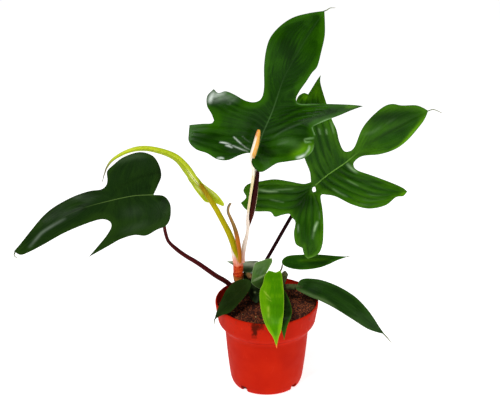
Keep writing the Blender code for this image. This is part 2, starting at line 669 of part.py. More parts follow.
ROLLED_BLADE = [
    (-0.1815, 0.2655, -0.017, 0.0006, 0.0006), (-0.1797, 0.2727, -0.016, 0.0009, 0.0009),
    (-0.1743, 0.2807, -0.015, 0.0013, 0.0012), (-0.1675, 0.2863, -0.014, 0.0015, 0.0014),
    (-0.158, 0.2913, -0.012, 0.0017, 0.0016), (-0.148, 0.294, -0.010, 0.0019, 0.0018),
    (-0.1394, 0.2947, -0.008, 0.0022, 0.0020), (-0.131, 0.2938, -0.006, 0.0023, 0.0021),
    (-0.121, 0.2916, -0.004, 0.0025, 0.0023), (-0.111, 0.2885, -0.002, 0.0028, 0.0025),
    (-0.1025, 0.2840, 0.000, 0.0030, 0.0027), (-0.0970, 0.2790, 0.001, 0.0033, 0.0030),
    (-0.0925, 0.2722, 0.001, 0.0038, 0.0033), (-0.0863, 0.2618, 0.001, 0.0049, 0.0037),
    (-0.0813, 0.2545, 0.001, 0.0058, 0.0040), (-0.0753, 0.2457, 0.002, 0.0067, 0.0042),
    (-0.0690, 0.2375, 0.004, 0.0078, 0.0044),
]
ROLLED_SIDES = 12
ROLLED_EARS = (0.0195, 0.005)
EAR_SHARPNESS = 1.5


def make_rolled_blade(name, group, material):
    """The rolled blade: an oval skinned along its route, with two ears at its open foot."""
    solid = bmesh.new()
    spots = [place(x, z, depth) for x, z, depth, _, _ in ROLLED_BLADE]
    rings = []
    for index, (spot, section) in enumerate(zip(spots, ROLLED_BLADE)):
        ahead = spots[min(index + 1, len(spots) - 1)]
        along = (ahead - spots[max(index - 1, 0)]).normalized()
        across = along.cross((EYE - spot).normalized()).normalized()
        toward = across.cross(along)
        ring = []
        for side in range(ROLLED_SIDES):
            angle = 2 * math.pi * side / ROLLED_SIDES
            point = spot + across * section[3] * math.cos(angle)
            point += toward * section[4] * math.sin(angle)
            if index == len(spots) - 1:
                right, left = ROLLED_EARS
                ear = left if math.cos(angle) > 0 else right
                point += along * ear * abs(math.cos(angle)) ** EAR_SHARPNESS
            ring.append(solid.verts.new(point))
        rings.append(ring)
    for first, second in zip(rings, rings[1:]):
        for side in range(ROLLED_SIDES):
            after = (side + 1) % ROLLED_SIDES
            solid.faces.new((first[side], first[after], second[after], second[side]))
    solid.faces.new(rings[0])
    middle = solid.verts.new(spots[-1])
    for side in range(ROLLED_SIDES):
        solid.faces.new((rings[-1][side], rings[-1][(side + 1) % ROLLED_SIDES], middle))
    bmesh.ops.triangulate(solid, faces=solid.faces)
    bmesh.ops.recalc_face_normals(solid, faces=solid.faces)
    mesh = bpy.data.meshes.new(name)
    solid.to_mesh(mesh)
    solid.free()
    mesh.shade_smooth()
    return add_object(name, mesh, group, material)


def build():
    clear_scene()
    parts = make_collection(OBJECT_NAME)
    notches = make_collection("notch_cutters")
    holes = make_collection("stem_hole_cutters")

    red_plastic = make_material("red_plastic", (0.62, 0.03, 0.015), 0.42)
    soil_mix = make_material("soil_mix", (0.045, 0.018, 0.010), 0.95)
    dark_leaf = make_material("dark_leaf", (0.018, 0.065, 0.012), 0.38)
    green_leaf = make_material("green_leaf", (0.035, 0.125, 0.012), 0.35)
    bright_leaf = make_material("bright_leaf", (0.10, 0.28, 0.006), 0.40)
    new_leaf = make_material("new_leaf", (0.42, 0.48, 0.02), 0.40)
    maroon_stem = make_material("maroon_stem", (0.06, 0.012, 0.012), 0.45)
    red_stem = make_material("red_stem", (0.60, 0.09, 0.02), 0.50)
    woody_stem = make_material("woody_stem", (0.16, 0.12, 0.05), 0.70)
    pale_sheath = make_material("pale_sheath", (0.80, 0.60, 0.45), 0.50)
    brown_sheath = make_material("brown_sheath", (0.45, 0.20, 0.04), 0.60)
    olive_stem = make_material("olive_stem", (0.36, 0.33, 0.02), 0.45)

    make_pot(parts, notches, red_plastic)
    stands = [MAIN_STEM[0], SIDE_STEM[0]]
    make_soil(parts, holes, stands, soil_mix)

    make_stem("main_stem", MAIN_STEM, parts, red_stem)
    make_stem("side_stem", SIDE_STEM, parts, woody_stem)
    make_stem("petiole_top", TOP_PETIOLE, parts, maroon_stem)
    make_stem("petiole_right", RIGHT_PETIOLE, parts, maroon_stem)
    make_stem("petiole_left", LEFT_PETIOLE, parts, maroon_stem)
    make_stem("petiole_new", NEW_PETIOLE, parts, olive_stem)
    make_stem("sheath_tall", TALL_SHEATH, parts, pale_sheath)
    make_stem("sheath_curled", CURLED_SHEATH, parts, brown_sheath)
    make_stem("petiole_rim", RIM_PETIOLE, parts, woody_stem)
    make_stem("petiole_bright", BRIGHT_PETIOLE, parts, woody_stem)
    make_stem("petiole_shaded", SHADED_PETIOLE, parts, woody_stem)
    make_stem("petiole_upturned", UPTURNED_PETIOLE, parts, woody_stem)
    make_stem("petiole_hidden", HIDDEN_PETIOLE, parts, woody_stem)
    make_stem("petiole_level", LEVEL_PETIOLE, parts, woody_stem)
    make_stem("petiole_long", LONG_PETIOLE, parts, woody_stem)

    make_blade("blade_top", TOP_LEAF, LARGE_STEP, parts, green_leaf)
    make_blade("blade_right", RIGHT_LEAF, LARGE_STEP, parts, green_leaf)
    make_blade("blade_left", LEFT_LEAF, LARGE_STEP, parts, dark_leaf)
    make_rolled_blade("blade_new", parts, new_leaf)
    make_blade("blade_rim", RIM_LEAF, SMALL_STEP, parts, dark_leaf)
    make_blade("blade_bright", BRIGHT_LEAF, SMALL_STEP, parts, bright_leaf)
    make_blade("blade_shaded", SHADED_LEAF, SMALL_STEP, parts, dark_leaf)
    make_blade("blade_upturned", UPTURNED_LEAF, SMALL_STEP, parts, green_leaf)
    make_blade("blade_hidden", HIDDEN_LEAF, SMALL_STEP, parts, dark_leaf)
    make_blade("blade_level", LEVEL_LEAF, SMALL_STEP, parts, green_leaf)
    make_blade("blade_long", LONG_LEAF, SMALL_STEP, parts, dark_leaf)


build()
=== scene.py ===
# A potted young philodendron: its finished surfaces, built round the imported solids.
import json
import math

import bmesh
import bpy
import numpy as np
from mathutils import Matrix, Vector
from mathutils.geometry import delaunay_2d_cdt

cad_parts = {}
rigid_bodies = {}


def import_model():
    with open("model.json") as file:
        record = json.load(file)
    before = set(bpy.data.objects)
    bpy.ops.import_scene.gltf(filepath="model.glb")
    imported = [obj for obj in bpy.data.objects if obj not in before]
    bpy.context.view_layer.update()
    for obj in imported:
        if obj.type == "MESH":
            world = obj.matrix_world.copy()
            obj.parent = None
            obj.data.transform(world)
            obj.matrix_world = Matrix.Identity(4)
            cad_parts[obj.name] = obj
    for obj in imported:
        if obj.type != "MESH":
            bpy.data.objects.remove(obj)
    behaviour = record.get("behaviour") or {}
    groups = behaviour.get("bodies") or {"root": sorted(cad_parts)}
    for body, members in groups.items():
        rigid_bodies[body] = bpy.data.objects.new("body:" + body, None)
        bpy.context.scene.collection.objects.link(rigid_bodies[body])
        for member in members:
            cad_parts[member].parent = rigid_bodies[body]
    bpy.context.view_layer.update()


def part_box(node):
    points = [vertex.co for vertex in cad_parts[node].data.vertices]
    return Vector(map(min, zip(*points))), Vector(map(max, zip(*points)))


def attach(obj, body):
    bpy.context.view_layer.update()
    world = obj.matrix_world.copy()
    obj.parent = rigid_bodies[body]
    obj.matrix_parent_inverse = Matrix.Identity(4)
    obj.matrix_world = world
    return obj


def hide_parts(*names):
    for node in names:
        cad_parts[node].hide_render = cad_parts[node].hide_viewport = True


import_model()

# The nursery pot: one thin wall of red polypropylene, injection moulded in a single shot.
# It has a deep rim band, a rounded shoulder, a tapered wall and a foot with four drain notches.

POT_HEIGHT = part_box("pot")[1].z
RIM_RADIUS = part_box("pot")[1].x
RIM_ROUND = 0.0008
# The outside of the wall as (radius, height), from the rim down.
BAND = [(0.0597, 0.100), (0.0571, 0.0835)]
SHOULDER = [(0.0560, 0.0805), (0.0532, 0.0770), (0.0503, 0.0738)]
BODY = [(0.0489, 0.0700), (0.0462, 0.038), (0.0432, 0.012)]
HEEL = [(0.0417, 0.0052), (0.0401, 0.0016), (0.0365, 0.0)]
WALL = 0.0014
WALL_LIFT = 0.0010
FLOOR = 0.0020
FLOOR_RADIUS = 0.0375
BAND_STEP, CURVE_STEP, INSIDE_STEP = 0.002, 0.0015, 0.003
TURN_STEPS = 144
SEAM_MERGE = 0.00001
NOTCH_COUNT = 4
NOTCH_ANGLE = math.radians(-40)
NOTCH_SIZE = (0.012, 0.009, 0.017)
NOTCH_REACH = 0.0405
SHARP_CORNER = math.radians(35)
# Heights of the painted shade under the shoulder: where it starts, is full, fades and ends.
SHOULDER_SHADE_HEIGHTS = (0.0736, 0.0758, 0.0768, 0.0792)
DUSTY_BAND = (0.088, 0.104)
# Wet soil smeared on the band: where each smear is, and how fast it fades along X, Y and Z.
SMEARS = [((-0.0120, -0.058, 0.102), (125.0, 60.0, 125.0)),
          ((-0.0145, -0.057, 0.0965), (235.0, 60.0, 92.0))]


def paint(red, green, blue):
    """A colour as it is seen, 0 to 255 a channel, as the shader's linear colour."""
    share = [channel / 255 for channel in (red, green, blue)]
    return [c / 12.92 if c <= 0.04045 else ((c + 0.055) / 1.055) ** 2.4 for c in share] + [1.0]


class Nodes:
    """A node tree, filled node by node with settings and inputs."""

    prefix = ""

    def node(self, kind, inputs=(), **settings):
        made = self.tree.nodes.new(self.prefix + kind)
        for key, value in settings.items():
            setattr(made, key, value)
        for socket, value in dict(inputs).items():
            self.feed(made.inputs[socket], value)
        return made

    def feed(self, socket, value):
        if isinstance(value, bpy.types.NodeSocket):
            self.tree.links.new(value, socket)
        else:
            socket.default_value = value


class Finish(Nodes):
    """A surface finish whose colour, roughness and relief are worked out by nodes."""

    prefix = "ShaderNode"

    def __init__(self, name, **constants):
        self.material = bpy.data.materials.new(name)
        self.material.use_nodes = True
        self.tree = self.material.node_tree
        self.shader = self.tree.nodes["Principled BSDF"]
        for socket, value in constants.items():
            self.shader.inputs[socket.replace("_", " ")].default_value = value
        self.where = self.node("TexCoord").outputs["Object"]
        self.colour = None

    def moved(self, centre=(0, 0, 0), scale=(1, 1, 1)):
        """Object coordinates measured from a centre and scaled a side."""
        shift = self.node("VectorMath", {0: self.where, 1: centre}, operation="SUBTRACT")
        stretch = self.node("VectorMath", {0: shift.outputs[0], 1: scale}, operation="MULTIPLY")
        return stretch.outputs[0]

    def height(self):
        return self.node("SeparateXYZ", {0: self.where}).outputs["Z"]

    def noise(self, scale, detail=3.0, vector=None, roughness=0.5, distortion=0.0):
        inputs = {"Vector": vector or self.where, "Scale": scale, "Detail": detail,
                  "Roughness": roughness, "Distortion": distortion}
        return self.node("TexNoise", inputs).outputs["Fac"]

    def cells(self, scale):
        return self.node("TexVoronoi", {"Vector": self.where, "Scale": scale}).outputs["Distance"]

    def attribute(self, name):
        return self.node("Attribute", attribute_name=name).outputs["Fac"]

    def ramp(self, value, low, high, to_low=0.0, to_high=1.0):
        """The value eased from to_low at low to to_high at high."""
        inputs = {"Value": value, "From Min": low, "From Max": high,
                  "To Min": to_low, "To Max": to_high}
        eased = self.node("MapRange", inputs, interpolation_type="SMOOTHSTEP")
        return eased.outputs["Result"]

    def combine(self, operation, first, second):
        return self.node("Math", {0: first, 1: second}, operation=operation).outputs[0]

    def times(self, first, second):
        return self.combine("MULTIPLY", first, second)

    def plus(self, first, second):
        return self.combine("ADD", first, second)

    def mix(self, share, first, second):
        return self.node("Mix", {0: share, 6: first, 7: second}, data_type="RGBA").outputs[2]

    def cover(self, share, tint):
        """The tint laid over the colour so far, where and as strongly as the share says."""
        self.colour = self.mix(share, self.colour, tint)

    def dress(self, roughness, relief=None, depth=0.0002):
        """The material, once its colour, roughness and relief are joined to the shader."""
        self.feed(self.shader.inputs["Base Color"], self.colour)
        self.feed(self.shader.inputs["Roughness"], roughness)
        if relief is not None:
            bump = self.node("Bump", {"Height": relief, "Distance": depth, "Strength": 1.0})
            self.feed(self.shader.inputs["Normal"], bump.outputs["Normal"])
        return self.material


def fit(piece, slot, *nodes):
    """The piece rides on the plant's one body and stands for solids, which it hides; the slot is not used.
    """
    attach(piece, "root")
    for node in nodes:
        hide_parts(node)


def baked(piece):
    """The piece with its modifiers worked into a plain mesh."""
    shaped = piece.evaluated_get(bpy.context.evaluated_depsgraph_get())
    mesh = bpy.data.meshes.new_from_object(shaped)
    piece.modifiers.clear()
    piece.data = mesh
    return piece


def new_piece(name, mesh):
    piece = bpy.data.objects.new(name, mesh)
    bpy.context.scene.collection.objects.link(piece)
    return piece


def smooth_line(points, step):
    """Points about a step apart on the smooth open line through the given ones."""
    knots = np.array(points, float)
    knots = np.vstack([2 * knots[0] - knots[1], knots, 2 * knots[-1] - knots[-2]])
    line = []
    for before, start, end, after in zip(knots, knots[1:], knots[2:], knots[3:]):
        pieces = max(1, round(float(np.linalg.norm((end - start)[:3])) / step))
        for share in np.arange(pieces) / pieces:
            linear = (end - before) * share
            square = (2 * before - 5 * start + 4 * end - after) * share ** 2
            cube = (3 * start - before - 3 * end + after) * share ** 3
            line.append(start + (linear + square + cube) * 0.5)
    line.append(knots[-2])
    return np.array(line)


def turn(name, profile):
    """A profile of (radius, height), top to bottom on its outer side, turned about Z."""
    mesh = bpy.data.meshes.new(name)
    edges = [(index, index + 1) for index in range(len(profile) - 1)]
    mesh.from_pydata([(float(radius), 0, float(height)) for radius, height in profile], edges, [])
    turned = new_piece(name, mesh)
    screw = turned.modifiers.new("turn", "SCREW")
    screw.steps = screw.render_steps = TURN_STEPS
    screw.use_merge_vertices = True
    screw.merge_threshold = SEAM_MERGE
    screw.use_normal_calculate = False
    return turned


def notch_cutters():
    """One block for each drain notch, in a collection of their own."""
    cutters = bpy.data.collections.new("notch_cutters")
    bpy.context.scene.collection.children.link(cutters)
    for index in range(NOTCH_COUNT):
        angle = NOTCH_ANGLE - index * math.tau / NOTCH_COUNT
        bpy.ops.mesh.primitive_cube_add(size=1.0)
        cutter = bpy.context.object
        cutter.scale = NOTCH_SIZE
        cutter.rotation_euler = (0, 0, angle)
        cutter.location = (NOTCH_REACH * math.cos(angle), NOTCH_REACH * math.sin(angle), 0)
        for holder in list(cutter.users_collection):
            holder.objects.unlink(cutter)
        cutters.objects.link(cutter)
    return cutters


lip = [(RIM_RADIUS - RIM_ROUND, POT_HEIGHT),
       (RIM_RADIUS - RIM_ROUND * 0.3, POT_HEIGHT - RIM_ROUND * 0.3),
       (RIM_RADIUS, POT_HEIGHT - RIM_ROUND)]
outer = [*smooth_line(lip + BAND, BAND_STEP)]
outer += [*smooth_line(BAND[-1:] + SHOULDER + BODY[:1], CURVE_STEP)][1:]
outer += [*smooth_line(BODY + HEEL, CURVE_STEP)][1:] + [(0.0, 0.0)]
inner_wall = [(radius - WALL, height + WALL_LIFT)
              for radius, height in BAND[1:] + SHOULDER + BODY + HEEL[:1]]
top_edge = [(RIM_RADIUS - RIM_ROUND - WALL / 2, POT_HEIGHT)]
inside = [(0.0, FLOOR), (FLOOR_RADIUS, FLOOR)]
inside += [*smooth_line(inner_wall[::-1] + top_edge, INSIDE_STEP)]
pot_wall = turn("pot_wall", outer + inside + outer[:1])
cutters = notch_cutters()
cut = pot_wall.modifiers.new("drain notches", "BOOLEAN")
cut.operand_type = "COLLECTION"
cut.collection = cutters
cut.solver = "EXACT"
bpy.context.view_layer.update()
fit(baked(pot_wall), "red_plastic", "pot")
for cutter in list(cutters.objects):
    bpy.data.objects.remove(cutter)
bpy.data.collections.remove(cutters)
pot_wall.data.shade_smooth()
pot_wall.data.set_sharp_from_angle(angle=SHARP_CORNER)

red = Finish("red_plastic", Specular_IOR_Level=0.03)
red.colour = red.mix(red.ramp(red.noise(38.0, 4.0), 0.3, 0.7), paint(180, 26, 4), paint(189, 32, 6))
scuffs = red.noise(160.0, 6.0, red.moved(scale=(1, 1, 0.35)), 0.7, 0.6)
red.cover(red.times(red.ramp(scuffs, 0.60, 0.78), 0.35), paint(224, 74, 54))
height = red.height()
# Painted shade: a thin darker ring under the shoulder, where the band overhangs the wall.
line_start, line_full, line_fade, line_end = SHOULDER_SHADE_HEIGHTS
painted_shoulder_shade = red.times(red.ramp(height, line_start, line_full),
                   red.ramp(height, line_fade, line_end, 1.0, 0.0))
red.cover(red.times(painted_shoulder_shade, 0.4), paint(140, 12, 0))
dust = red.times(red.ramp(red.noise(240.0, 6.0), 0.55, 0.72), red.ramp(height, *DUSTY_BAND))
red.cover(red.times(dust, 0.55), paint(96, 42, 28))
spots = [red.node("VectorMath", {0: red.moved(*smear)}, operation="LENGTH").outputs["Value"]
         for smear in SMEARS]
ragged = red.plus(red.combine("MINIMUM", *spots), red.times(red.noise(210.0, 6.0), 1.9))
smear = red.ramp(ragged, 1.25, 2.1, 1.0, 0.0)
red.cover(red.times(smear, 0.92), paint(64, 18, 6))
gloss = red.ramp(red.noise(90.0, 5.0), 0.3, 0.7, 0.48, 0.60)
gloss = red.plus(gloss, red.times(smear, 0.35))
pot_wall.data.materials.clear()
pot_wall.data.materials.append(red.dress(gloss, red.noise(520.0, 3.0), 0.00004))

# The potting mix: reddish brown peat and bark that fills the pot, heaped a little higher at
# the front. Loose crumbs, strips of bark and a few white grains of perlite lie on it.

SOIL_LEVEL = 0.099
SOIL_SLOPE = 0.055
SOIL_LUMPS = 0.0008
SOIL_GRAIN = 0.0012
SOIL_SIDES = 180
SOIL_FLARE = 0.0009
CLEARANCE = 0.0003
CRUMB_DROP = 0.0004
CRUMB_LUMPS = 1400.0
MERGE = 1e-7


def soil_height(x, y):
    """The surface of the mix stands higher at the front and right, and is a little lumpy."""
    lumps = np.sin(210 * x + 1.3) * np.cos(170 * y) + np.sin(95 * (x + y))
    return SOIL_LEVEL + SOIL_SLOPE * (x - y) + SOIL_LUMPS * lumps


def soil_mesh():
    """The mix as one closed body: a fine top inside a ring, and sides that follow the pot."""
    wall = [(radius - CLEARANCE, height) for radius, height in inner_wall]
    turns = np.arange(SOIL_SIDES) * math.tau / SOIL_SIDES
    ring = np.column_stack([np.cos(turns), np.sin(turns)])
    top_radius = wall[0][0] + SOIL_FLARE
    spots = [Vector(spot) for spot in ring * top_radius]
    rows = np.arange(-top_radius, top_radius, SOIL_GRAIN * math.sqrt(0.75))
    for number, y in enumerate(rows):
        for x in np.arange(-top_radius, top_radius, SOIL_GRAIN) + (number % 2) * SOIL_GRAIN / 2:
            if math.hypot(x, y) < top_radius - SOIL_GRAIN / 2:
                spots.append(Vector((x, y)))
    edges = [(i, (i + 1) % SOIL_SIDES) for i in range(SOIL_SIDES)]
    flat, _, faces = delaunay_2d_cdt(spots, edges, [], 1, MERGE)[:3]
    body = bmesh.new()
    lift = body.verts.layers.float.new("top")
    top = []
    for x, y in flat:
        corner = body.verts.new((x, y, float(soil_height(x, y))))
        corner[lift] = 1.0
        top.append(corner)
    for face in faces:
        body.faces.new([top[index] for index in face])
    above = top[:SOIL_SIDES]
    for radius, height in wall + [(FLOOR_RADIUS - CLEARANCE, FLOOR + CLEARANCE)]:
        below = [body.verts.new((x * radius, y * radius, height)) for x, y in ring]
        for i in range(SOIL_SIDES):
            after = (i + 1) % SOIL_SIDES
            body.faces.new((above[after], above[i], below[i], below[after]))
        above = below
    body.faces.new(above)
    bmesh.ops.recalc_face_normals(body, faces=body.faces)
    mesh = bpy.data.meshes.new("soil")
    body.to_mesh(mesh)
    body.free()
    return mesh


class Grower(Nodes):
    """A Geometry Nodes tree with named inputs, and the modifier that uses it."""

    KINDS = {int: "NodeSocketInt", float: "NodeSocketFloat", bpy.types.Material: "NodeSocketMaterial"}

    def __init__(self, name, **inputs):
        self.tree = bpy.data.node_groups.new(name, "GeometryNodeTree")
        self.sockets = {}
        labels = {"Geometry": "NodeSocketGeometry"}
        labels.update({label: self.KINDS[type(value)] for label, value in inputs.items()})
        for label, kind in labels.items():
            socket = self.tree.interface.new_socket(label, in_out="INPUT", socket_type=kind)
            self.sockets[label] = socket.identifier
        self.tree.interface.new_socket("Geometry", in_out="OUTPUT", socket_type="NodeSocketGeometry")
        self.start = self.tree.nodes.new("NodeGroupInput").outputs
        self.end = self.tree.nodes.new("NodeGroupOutput")
        self.inputs = inputs

    def scaled(self, vector, factor):
        return self.node("ShaderNodeVectorMath", {0: vector, 3: factor}, operation="SCALE").outputs[0]

    def finish(self, geometry, offset):
        """The tree, once its geometry is pushed by the offset and dressed in its finish."""
        rough = self.node("GeometryNodeSetPosition", {0: geometry, "Offset": offset})
        dressed = self.node("GeometryNodeSetMaterial", {
            0: rough.outputs[0], "Material": self.start["Finish"]})
        self.feed(self.end.inputs[0], dressed.outputs[0])
        return self

    def grow(self, piece, **inputs):
        """The piece's mesh as the tree shapes it with these inputs, without the modifier."""
        modifier = piece.modifiers.new(self.tree.name, "NODES")
        modifier.node_group = self.tree
        for label, value in {**self.inputs, **inputs}.items():
            modifier[self.sockets[label]] = value
        return baked(piece)


def crumb_grower(material):
    """Small rough grains scattered over the soil's top, each with a shade of its own."""
    tree = Grower("crumbs", Density=1.0, Smallest=0.001, Largest=0.002, Length=1.0, Flatness=1.0,
                  Roundness=1, Roughness=0.3, Seed=1, Finish=material)
    start = tree.start
    top = tree.node("GeometryNodeInputNamedAttribute", {"Name": "top"}, data_type="FLOAT")
    chosen = tree.node("FunctionNodeCompare", {0: top.outputs[0], 1: 0.99}, operation="GREATER_THAN")
    spots = tree.node("GeometryNodeDistributePointsOnFaces", {
        "Mesh": start["Geometry"], "Selection": chosen.outputs[0], "Density": start["Density"],
        "Seed": start["Seed"]})
    drop = tree.node("GeometryNodeSetPosition", {
        0: spots.outputs["Points"], "Offset": (0, 0, -CRUMB_DROP)})
    grain = tree.node("GeometryNodeMeshIcoSphere", {"Radius": 0.5, "Subdivisions": start["Roundness"]})
    turn_by = tree.node("FunctionNodeRandomValue", {0: (0, 0, 0), 1: (math.tau,) * 3, 8: 7},
                        data_type="FLOAT_VECTOR")
    size = tree.node("FunctionNodeRandomValue", {2: start["Smallest"], 3: start["Largest"], 8: 8})
    shape = tree.node("ShaderNodeCombineXYZ", {0: start["Length"], 1: 1.0, 2: start["Flatness"]})
    shade = tree.node("FunctionNodeRandomValue", {2: 0.0, 3: 1.0, 8: 9})
    grains = tree.node("GeometryNodeInstanceOnPoints", {
        "Points": drop.outputs[0], "Instance": grain.outputs["Mesh"], "Rotation": turn_by.outputs[0],
        "Scale": tree.scaled(shape.outputs[0], size.outputs[1])})
    shaded = tree.node("GeometryNodeStoreNamedAttribute", {
        "Geometry": grains.outputs[0], "Name": "shade", "Value": shade.outputs[1]}, domain="INSTANCE")
    real = tree.node("GeometryNodeRealizeInstances", {0: shaded.outputs[0]})
    lumps = tree.node("ShaderNodeTexNoise", {"Scale": CRUMB_LUMPS, "Detail": 1.0})
    middle = tree.node("ShaderNodeVectorMath", {0: lumps.outputs["Color"], 1: (0.5, 0.5, 0.5)},
                       operation="SUBTRACT")
    push = tree.scaled(middle.outputs[0], start["Roughness"])
    return tree.finish(real.outputs[0], tree.scaled(push, start["Largest"]))


def peat_finish(name, dark, middle, light, depth):
    """Damp peat: three browns by grain and by patch, all matte."""
    peat = Finish(name, Specular_IOR_Level=0.25)
    patch = peat.noise(110.0, 6.0, roughness=0.7)
    grain = peat.cells(620.0)
    peat.colour = peat.mix(peat.ramp(patch, 0.36, 0.62), dark, middle)
    peat.cover(peat.ramp(grain, 0.25, 0.7), light)
    shade = peat.attribute("shade")
    peat.cover(peat.ramp(shade, 0.72, 1.0, 0.0, 0.8), light)
    peat.cover(peat.ramp(shade, 0.1, 0.5, 0.8, 0.0), dark)
    return peat.dress(0.92, peat.noise(900.0, 4.0), depth)


def grain_finish(name, dark, light, roughness):
    """Bark or perlite: each grain has a shade between two, with fine pits."""
    grain = Finish(name, Specular_IOR_Level=0.3)
    grain.colour = grain.mix(grain.attribute("shade"), dark, light)
    grain.cover(grain.ramp(grain.noise(1300.0, 3.0), 0.45, 0.7), dark)
    return grain.dress(roughness, grain.noise(1800.0, 2.0))


soil_body = new_piece("soil_body", soil_mesh())
soil_body.data.materials.append(peat_finish(
    "peat", paint(34, 9, 4), paint(72, 22, 12), paint(116, 54, 32), 0.0009))
crumbs = crumb_grower(soil_body.data.materials[0])
LAYERS = {
    "soil_crumbs": dict(Density=230000.0, Smallest=0.0007, Largest=0.0030, Length=1.25, Flatness=0.8,
                        Seed=3, Finish=peat_finish("peat_crumbs", paint(38, 10, 5), paint(96, 32, 18),
                                                   paint(146, 78, 44), 0.0003)),
    "bark_strips": dict(Density=15000.0, Smallest=0.0008, Largest=0.0017, Length=4.2, Flatness=0.35,
                        Seed=5, Finish=grain_finish("bark", paint(64, 22, 12), paint(176, 104, 62), 0.85)),
    "perlite_grains": dict(Density=2000.0, Smallest=0.0009, Largest=0.0019, Roundness=2, Seed=11,
                           Finish=grain_finish("perlite", paint(170, 140, 84), paint(230, 206, 140), 0.7)),
}
for name, sizes in LAYERS.items():
    layer = crumbs.grow(new_piece(name, soil_body.data.copy()), **sizes)
    layer.data.shade_flat()
    fit(layer, "soil_mix")
fit(soil_body, "soil_mix", "potting_soil")
soil_body.data.shade_smooth()

# The stems: a short red main stem with a swollen top joint and a dry bud at its foot, and a thin
# woody side stem. Both stand rooted in the mix.

CAMERA_PLACE = (-0.0196, -1.3402, 0.8195)
STEM_STEP = 0.0012
STEM_SIDES = 20
CAP_RINGS = 3
CAP_STEP = 0.35
CAP_SHRINK = 0.72
COLLAR_FOOT = (0.1170, 0.1220)
COLLAR_TOP = (0.1400, 0.1455)


def metres(drawn):
    """Measures that are drawn in millimetres."""
    return np.array(drawn, float) / 1000


def place(spots):
    """Points of (x, z, depth) slid along the camera's lines of sight to that depth."""
    eye = np.array(CAMERA_PLACE)
    board = np.column_stack([spots[:, 0], np.zeros(len(spots)), spots[:, 1]])
    return eye + (board - eye) * (1 - spots[:, 2] / eye[1])[:, None]


def lengths_along(line):
    """How far along a line each of its points lies."""
    return np.concatenate([[0], np.cumsum(np.linalg.norm(np.diff(line, axis=0), axis=1))])


def store(mesh, values):
    """A number for each point of the mesh under each name, for nodes to read."""
    for label, numbers in values.items():
        layer = mesh.attributes.new(label, "FLOAT", "POINT")
        layer.data.foreach_set("value", numbers.astype(np.float32))


def stem_grower(material):
    """A round stem along a line of points, each with its own girth, with a slightly rough skin."""
    tree = Grower("stem", Sides=STEM_SIDES, Grain=900.0, Depth=0.00008, Finish=material)
    start = tree.start
    line = tree.node("GeometryNodeMeshToCurve", {0: start["Geometry"]})
    circle = tree.node("GeometryNodeCurvePrimitiveCircle", {"Resolution": start["Sides"], "Radius": 1.0})
    girth = tree.node("GeometryNodeInputNamedAttribute", {"Name": "girth"}, data_type="FLOAT")
    skin = tree.node("GeometryNodeCurveToMesh", {
        "Curve": line.outputs[0], "Profile Curve": circle.outputs[0], "Scale": girth.outputs[0],
        "Fill Caps": True})
    where = tree.node("GeometryNodeInputPosition")
    stretch = tree.node("ShaderNodeVectorMath", {0: where.outputs[0], 1: (1.0, 1.0, 0.3)},
                        operation="MULTIPLY")
    grain = tree.node("ShaderNodeTexNoise", {
        "Vector": stretch.outputs[0], "Scale": start["Grain"], "Detail": 2.0})
    rise = tree.node("ShaderNodeMath", {0: grain.outputs["Fac"], 1: 0.5}, operation="SUBTRACT")
    height = tree.node("ShaderNodeMath", {0: rise.outputs[0], 1: start["Depth"]}, operation="MULTIPLY")
    normal = tree.node("GeometryNodeInputNormal")
    push = tree.scaled(normal.outputs[0], height.outputs[0])
    return tree.finish(skin.outputs[0], push)


def stem(name, route, slot, finish, *nodes, swellings=(), **sizes):
    """A stem with rounded ends, drawn as points of (x, z, depth, radius).

    A swelling is (its share of the stem's length, its reach, how much thicker the stem is there).
    """
    route = metres(route)
    line = smooth_line(np.column_stack([place(route[:, :3]), route[:, 3]]), STEM_STEP)
    spots, girths = line[:, :3], line[:, 3]
    along = lengths_along(spots)
    share = along / along[-1]
    for middle, reach, swell in swellings:
        away = (along - middle * along[-1]) * 1000 / reach
        girths = girths * (1 + swell * np.exp(-away ** 2))
    for _ in range(CAP_RINGS):
        ends = spots[[0, -1]]
        headings = ends - spots[[1, -2]]
        headings /= np.linalg.norm(headings, axis=1)[:, None]
        tips = ends + headings * girths[[0, -1]][:, None] * CAP_STEP
        spots = np.vstack([tips[:1], spots, tips[1:]])
        girths = np.concatenate([girths[:1] * CAP_SHRINK, girths, girths[-1:] * CAP_SHRINK])
        share = np.concatenate([[0], share, [1]])
    mesh = bpy.data.meshes.new(name)
    mesh.from_pydata(spots.tolist(), [(i, i + 1) for i in range(len(spots) - 1)], [])
    store(mesh, {"girth": girths, "along": share})
    piece = grow_stem.grow(new_piece(name, mesh), Finish=finish, **sizes)
    piece.data.shade_smooth()
    fit(piece, slot, *nodes)


def stem_finish(name, foot, middle, tip, streak, roughness=0.42, streaks=0.5, turn_at=(0.02, 0.30)):
    """Living stem tissue: a colour from foot to tip, with fine streaks along its length."""
    skin = Finish(name, Specular_IOR_Level=0.05)
    wander = skin.ramp(skin.noise(60.0, 3.0), 0.0, 1.0, -0.06, 0.06)
    along = skin.plus(skin.attribute("along"), wander)
    skin.colour = skin.mix(skin.ramp(along, *turn_at), paint(*foot), paint(*middle))
    skin.cover(skin.ramp(along, 0.70, 0.98), paint(*tip))
    lines = skin.noise(700.0, 4.0, skin.moved(scale=(1, 1, 0.12)), 0.6)
    skin.cover(skin.times(skin.ramp(lines, 0.45, 0.72), streaks), paint(*streak))
    gloss = skin.ramp(skin.noise(300.0, 3.0), 0.3, 0.7, roughness - 0.06, roughness + 0.08)
    return skin.dress(gloss, lines, 0.00012)


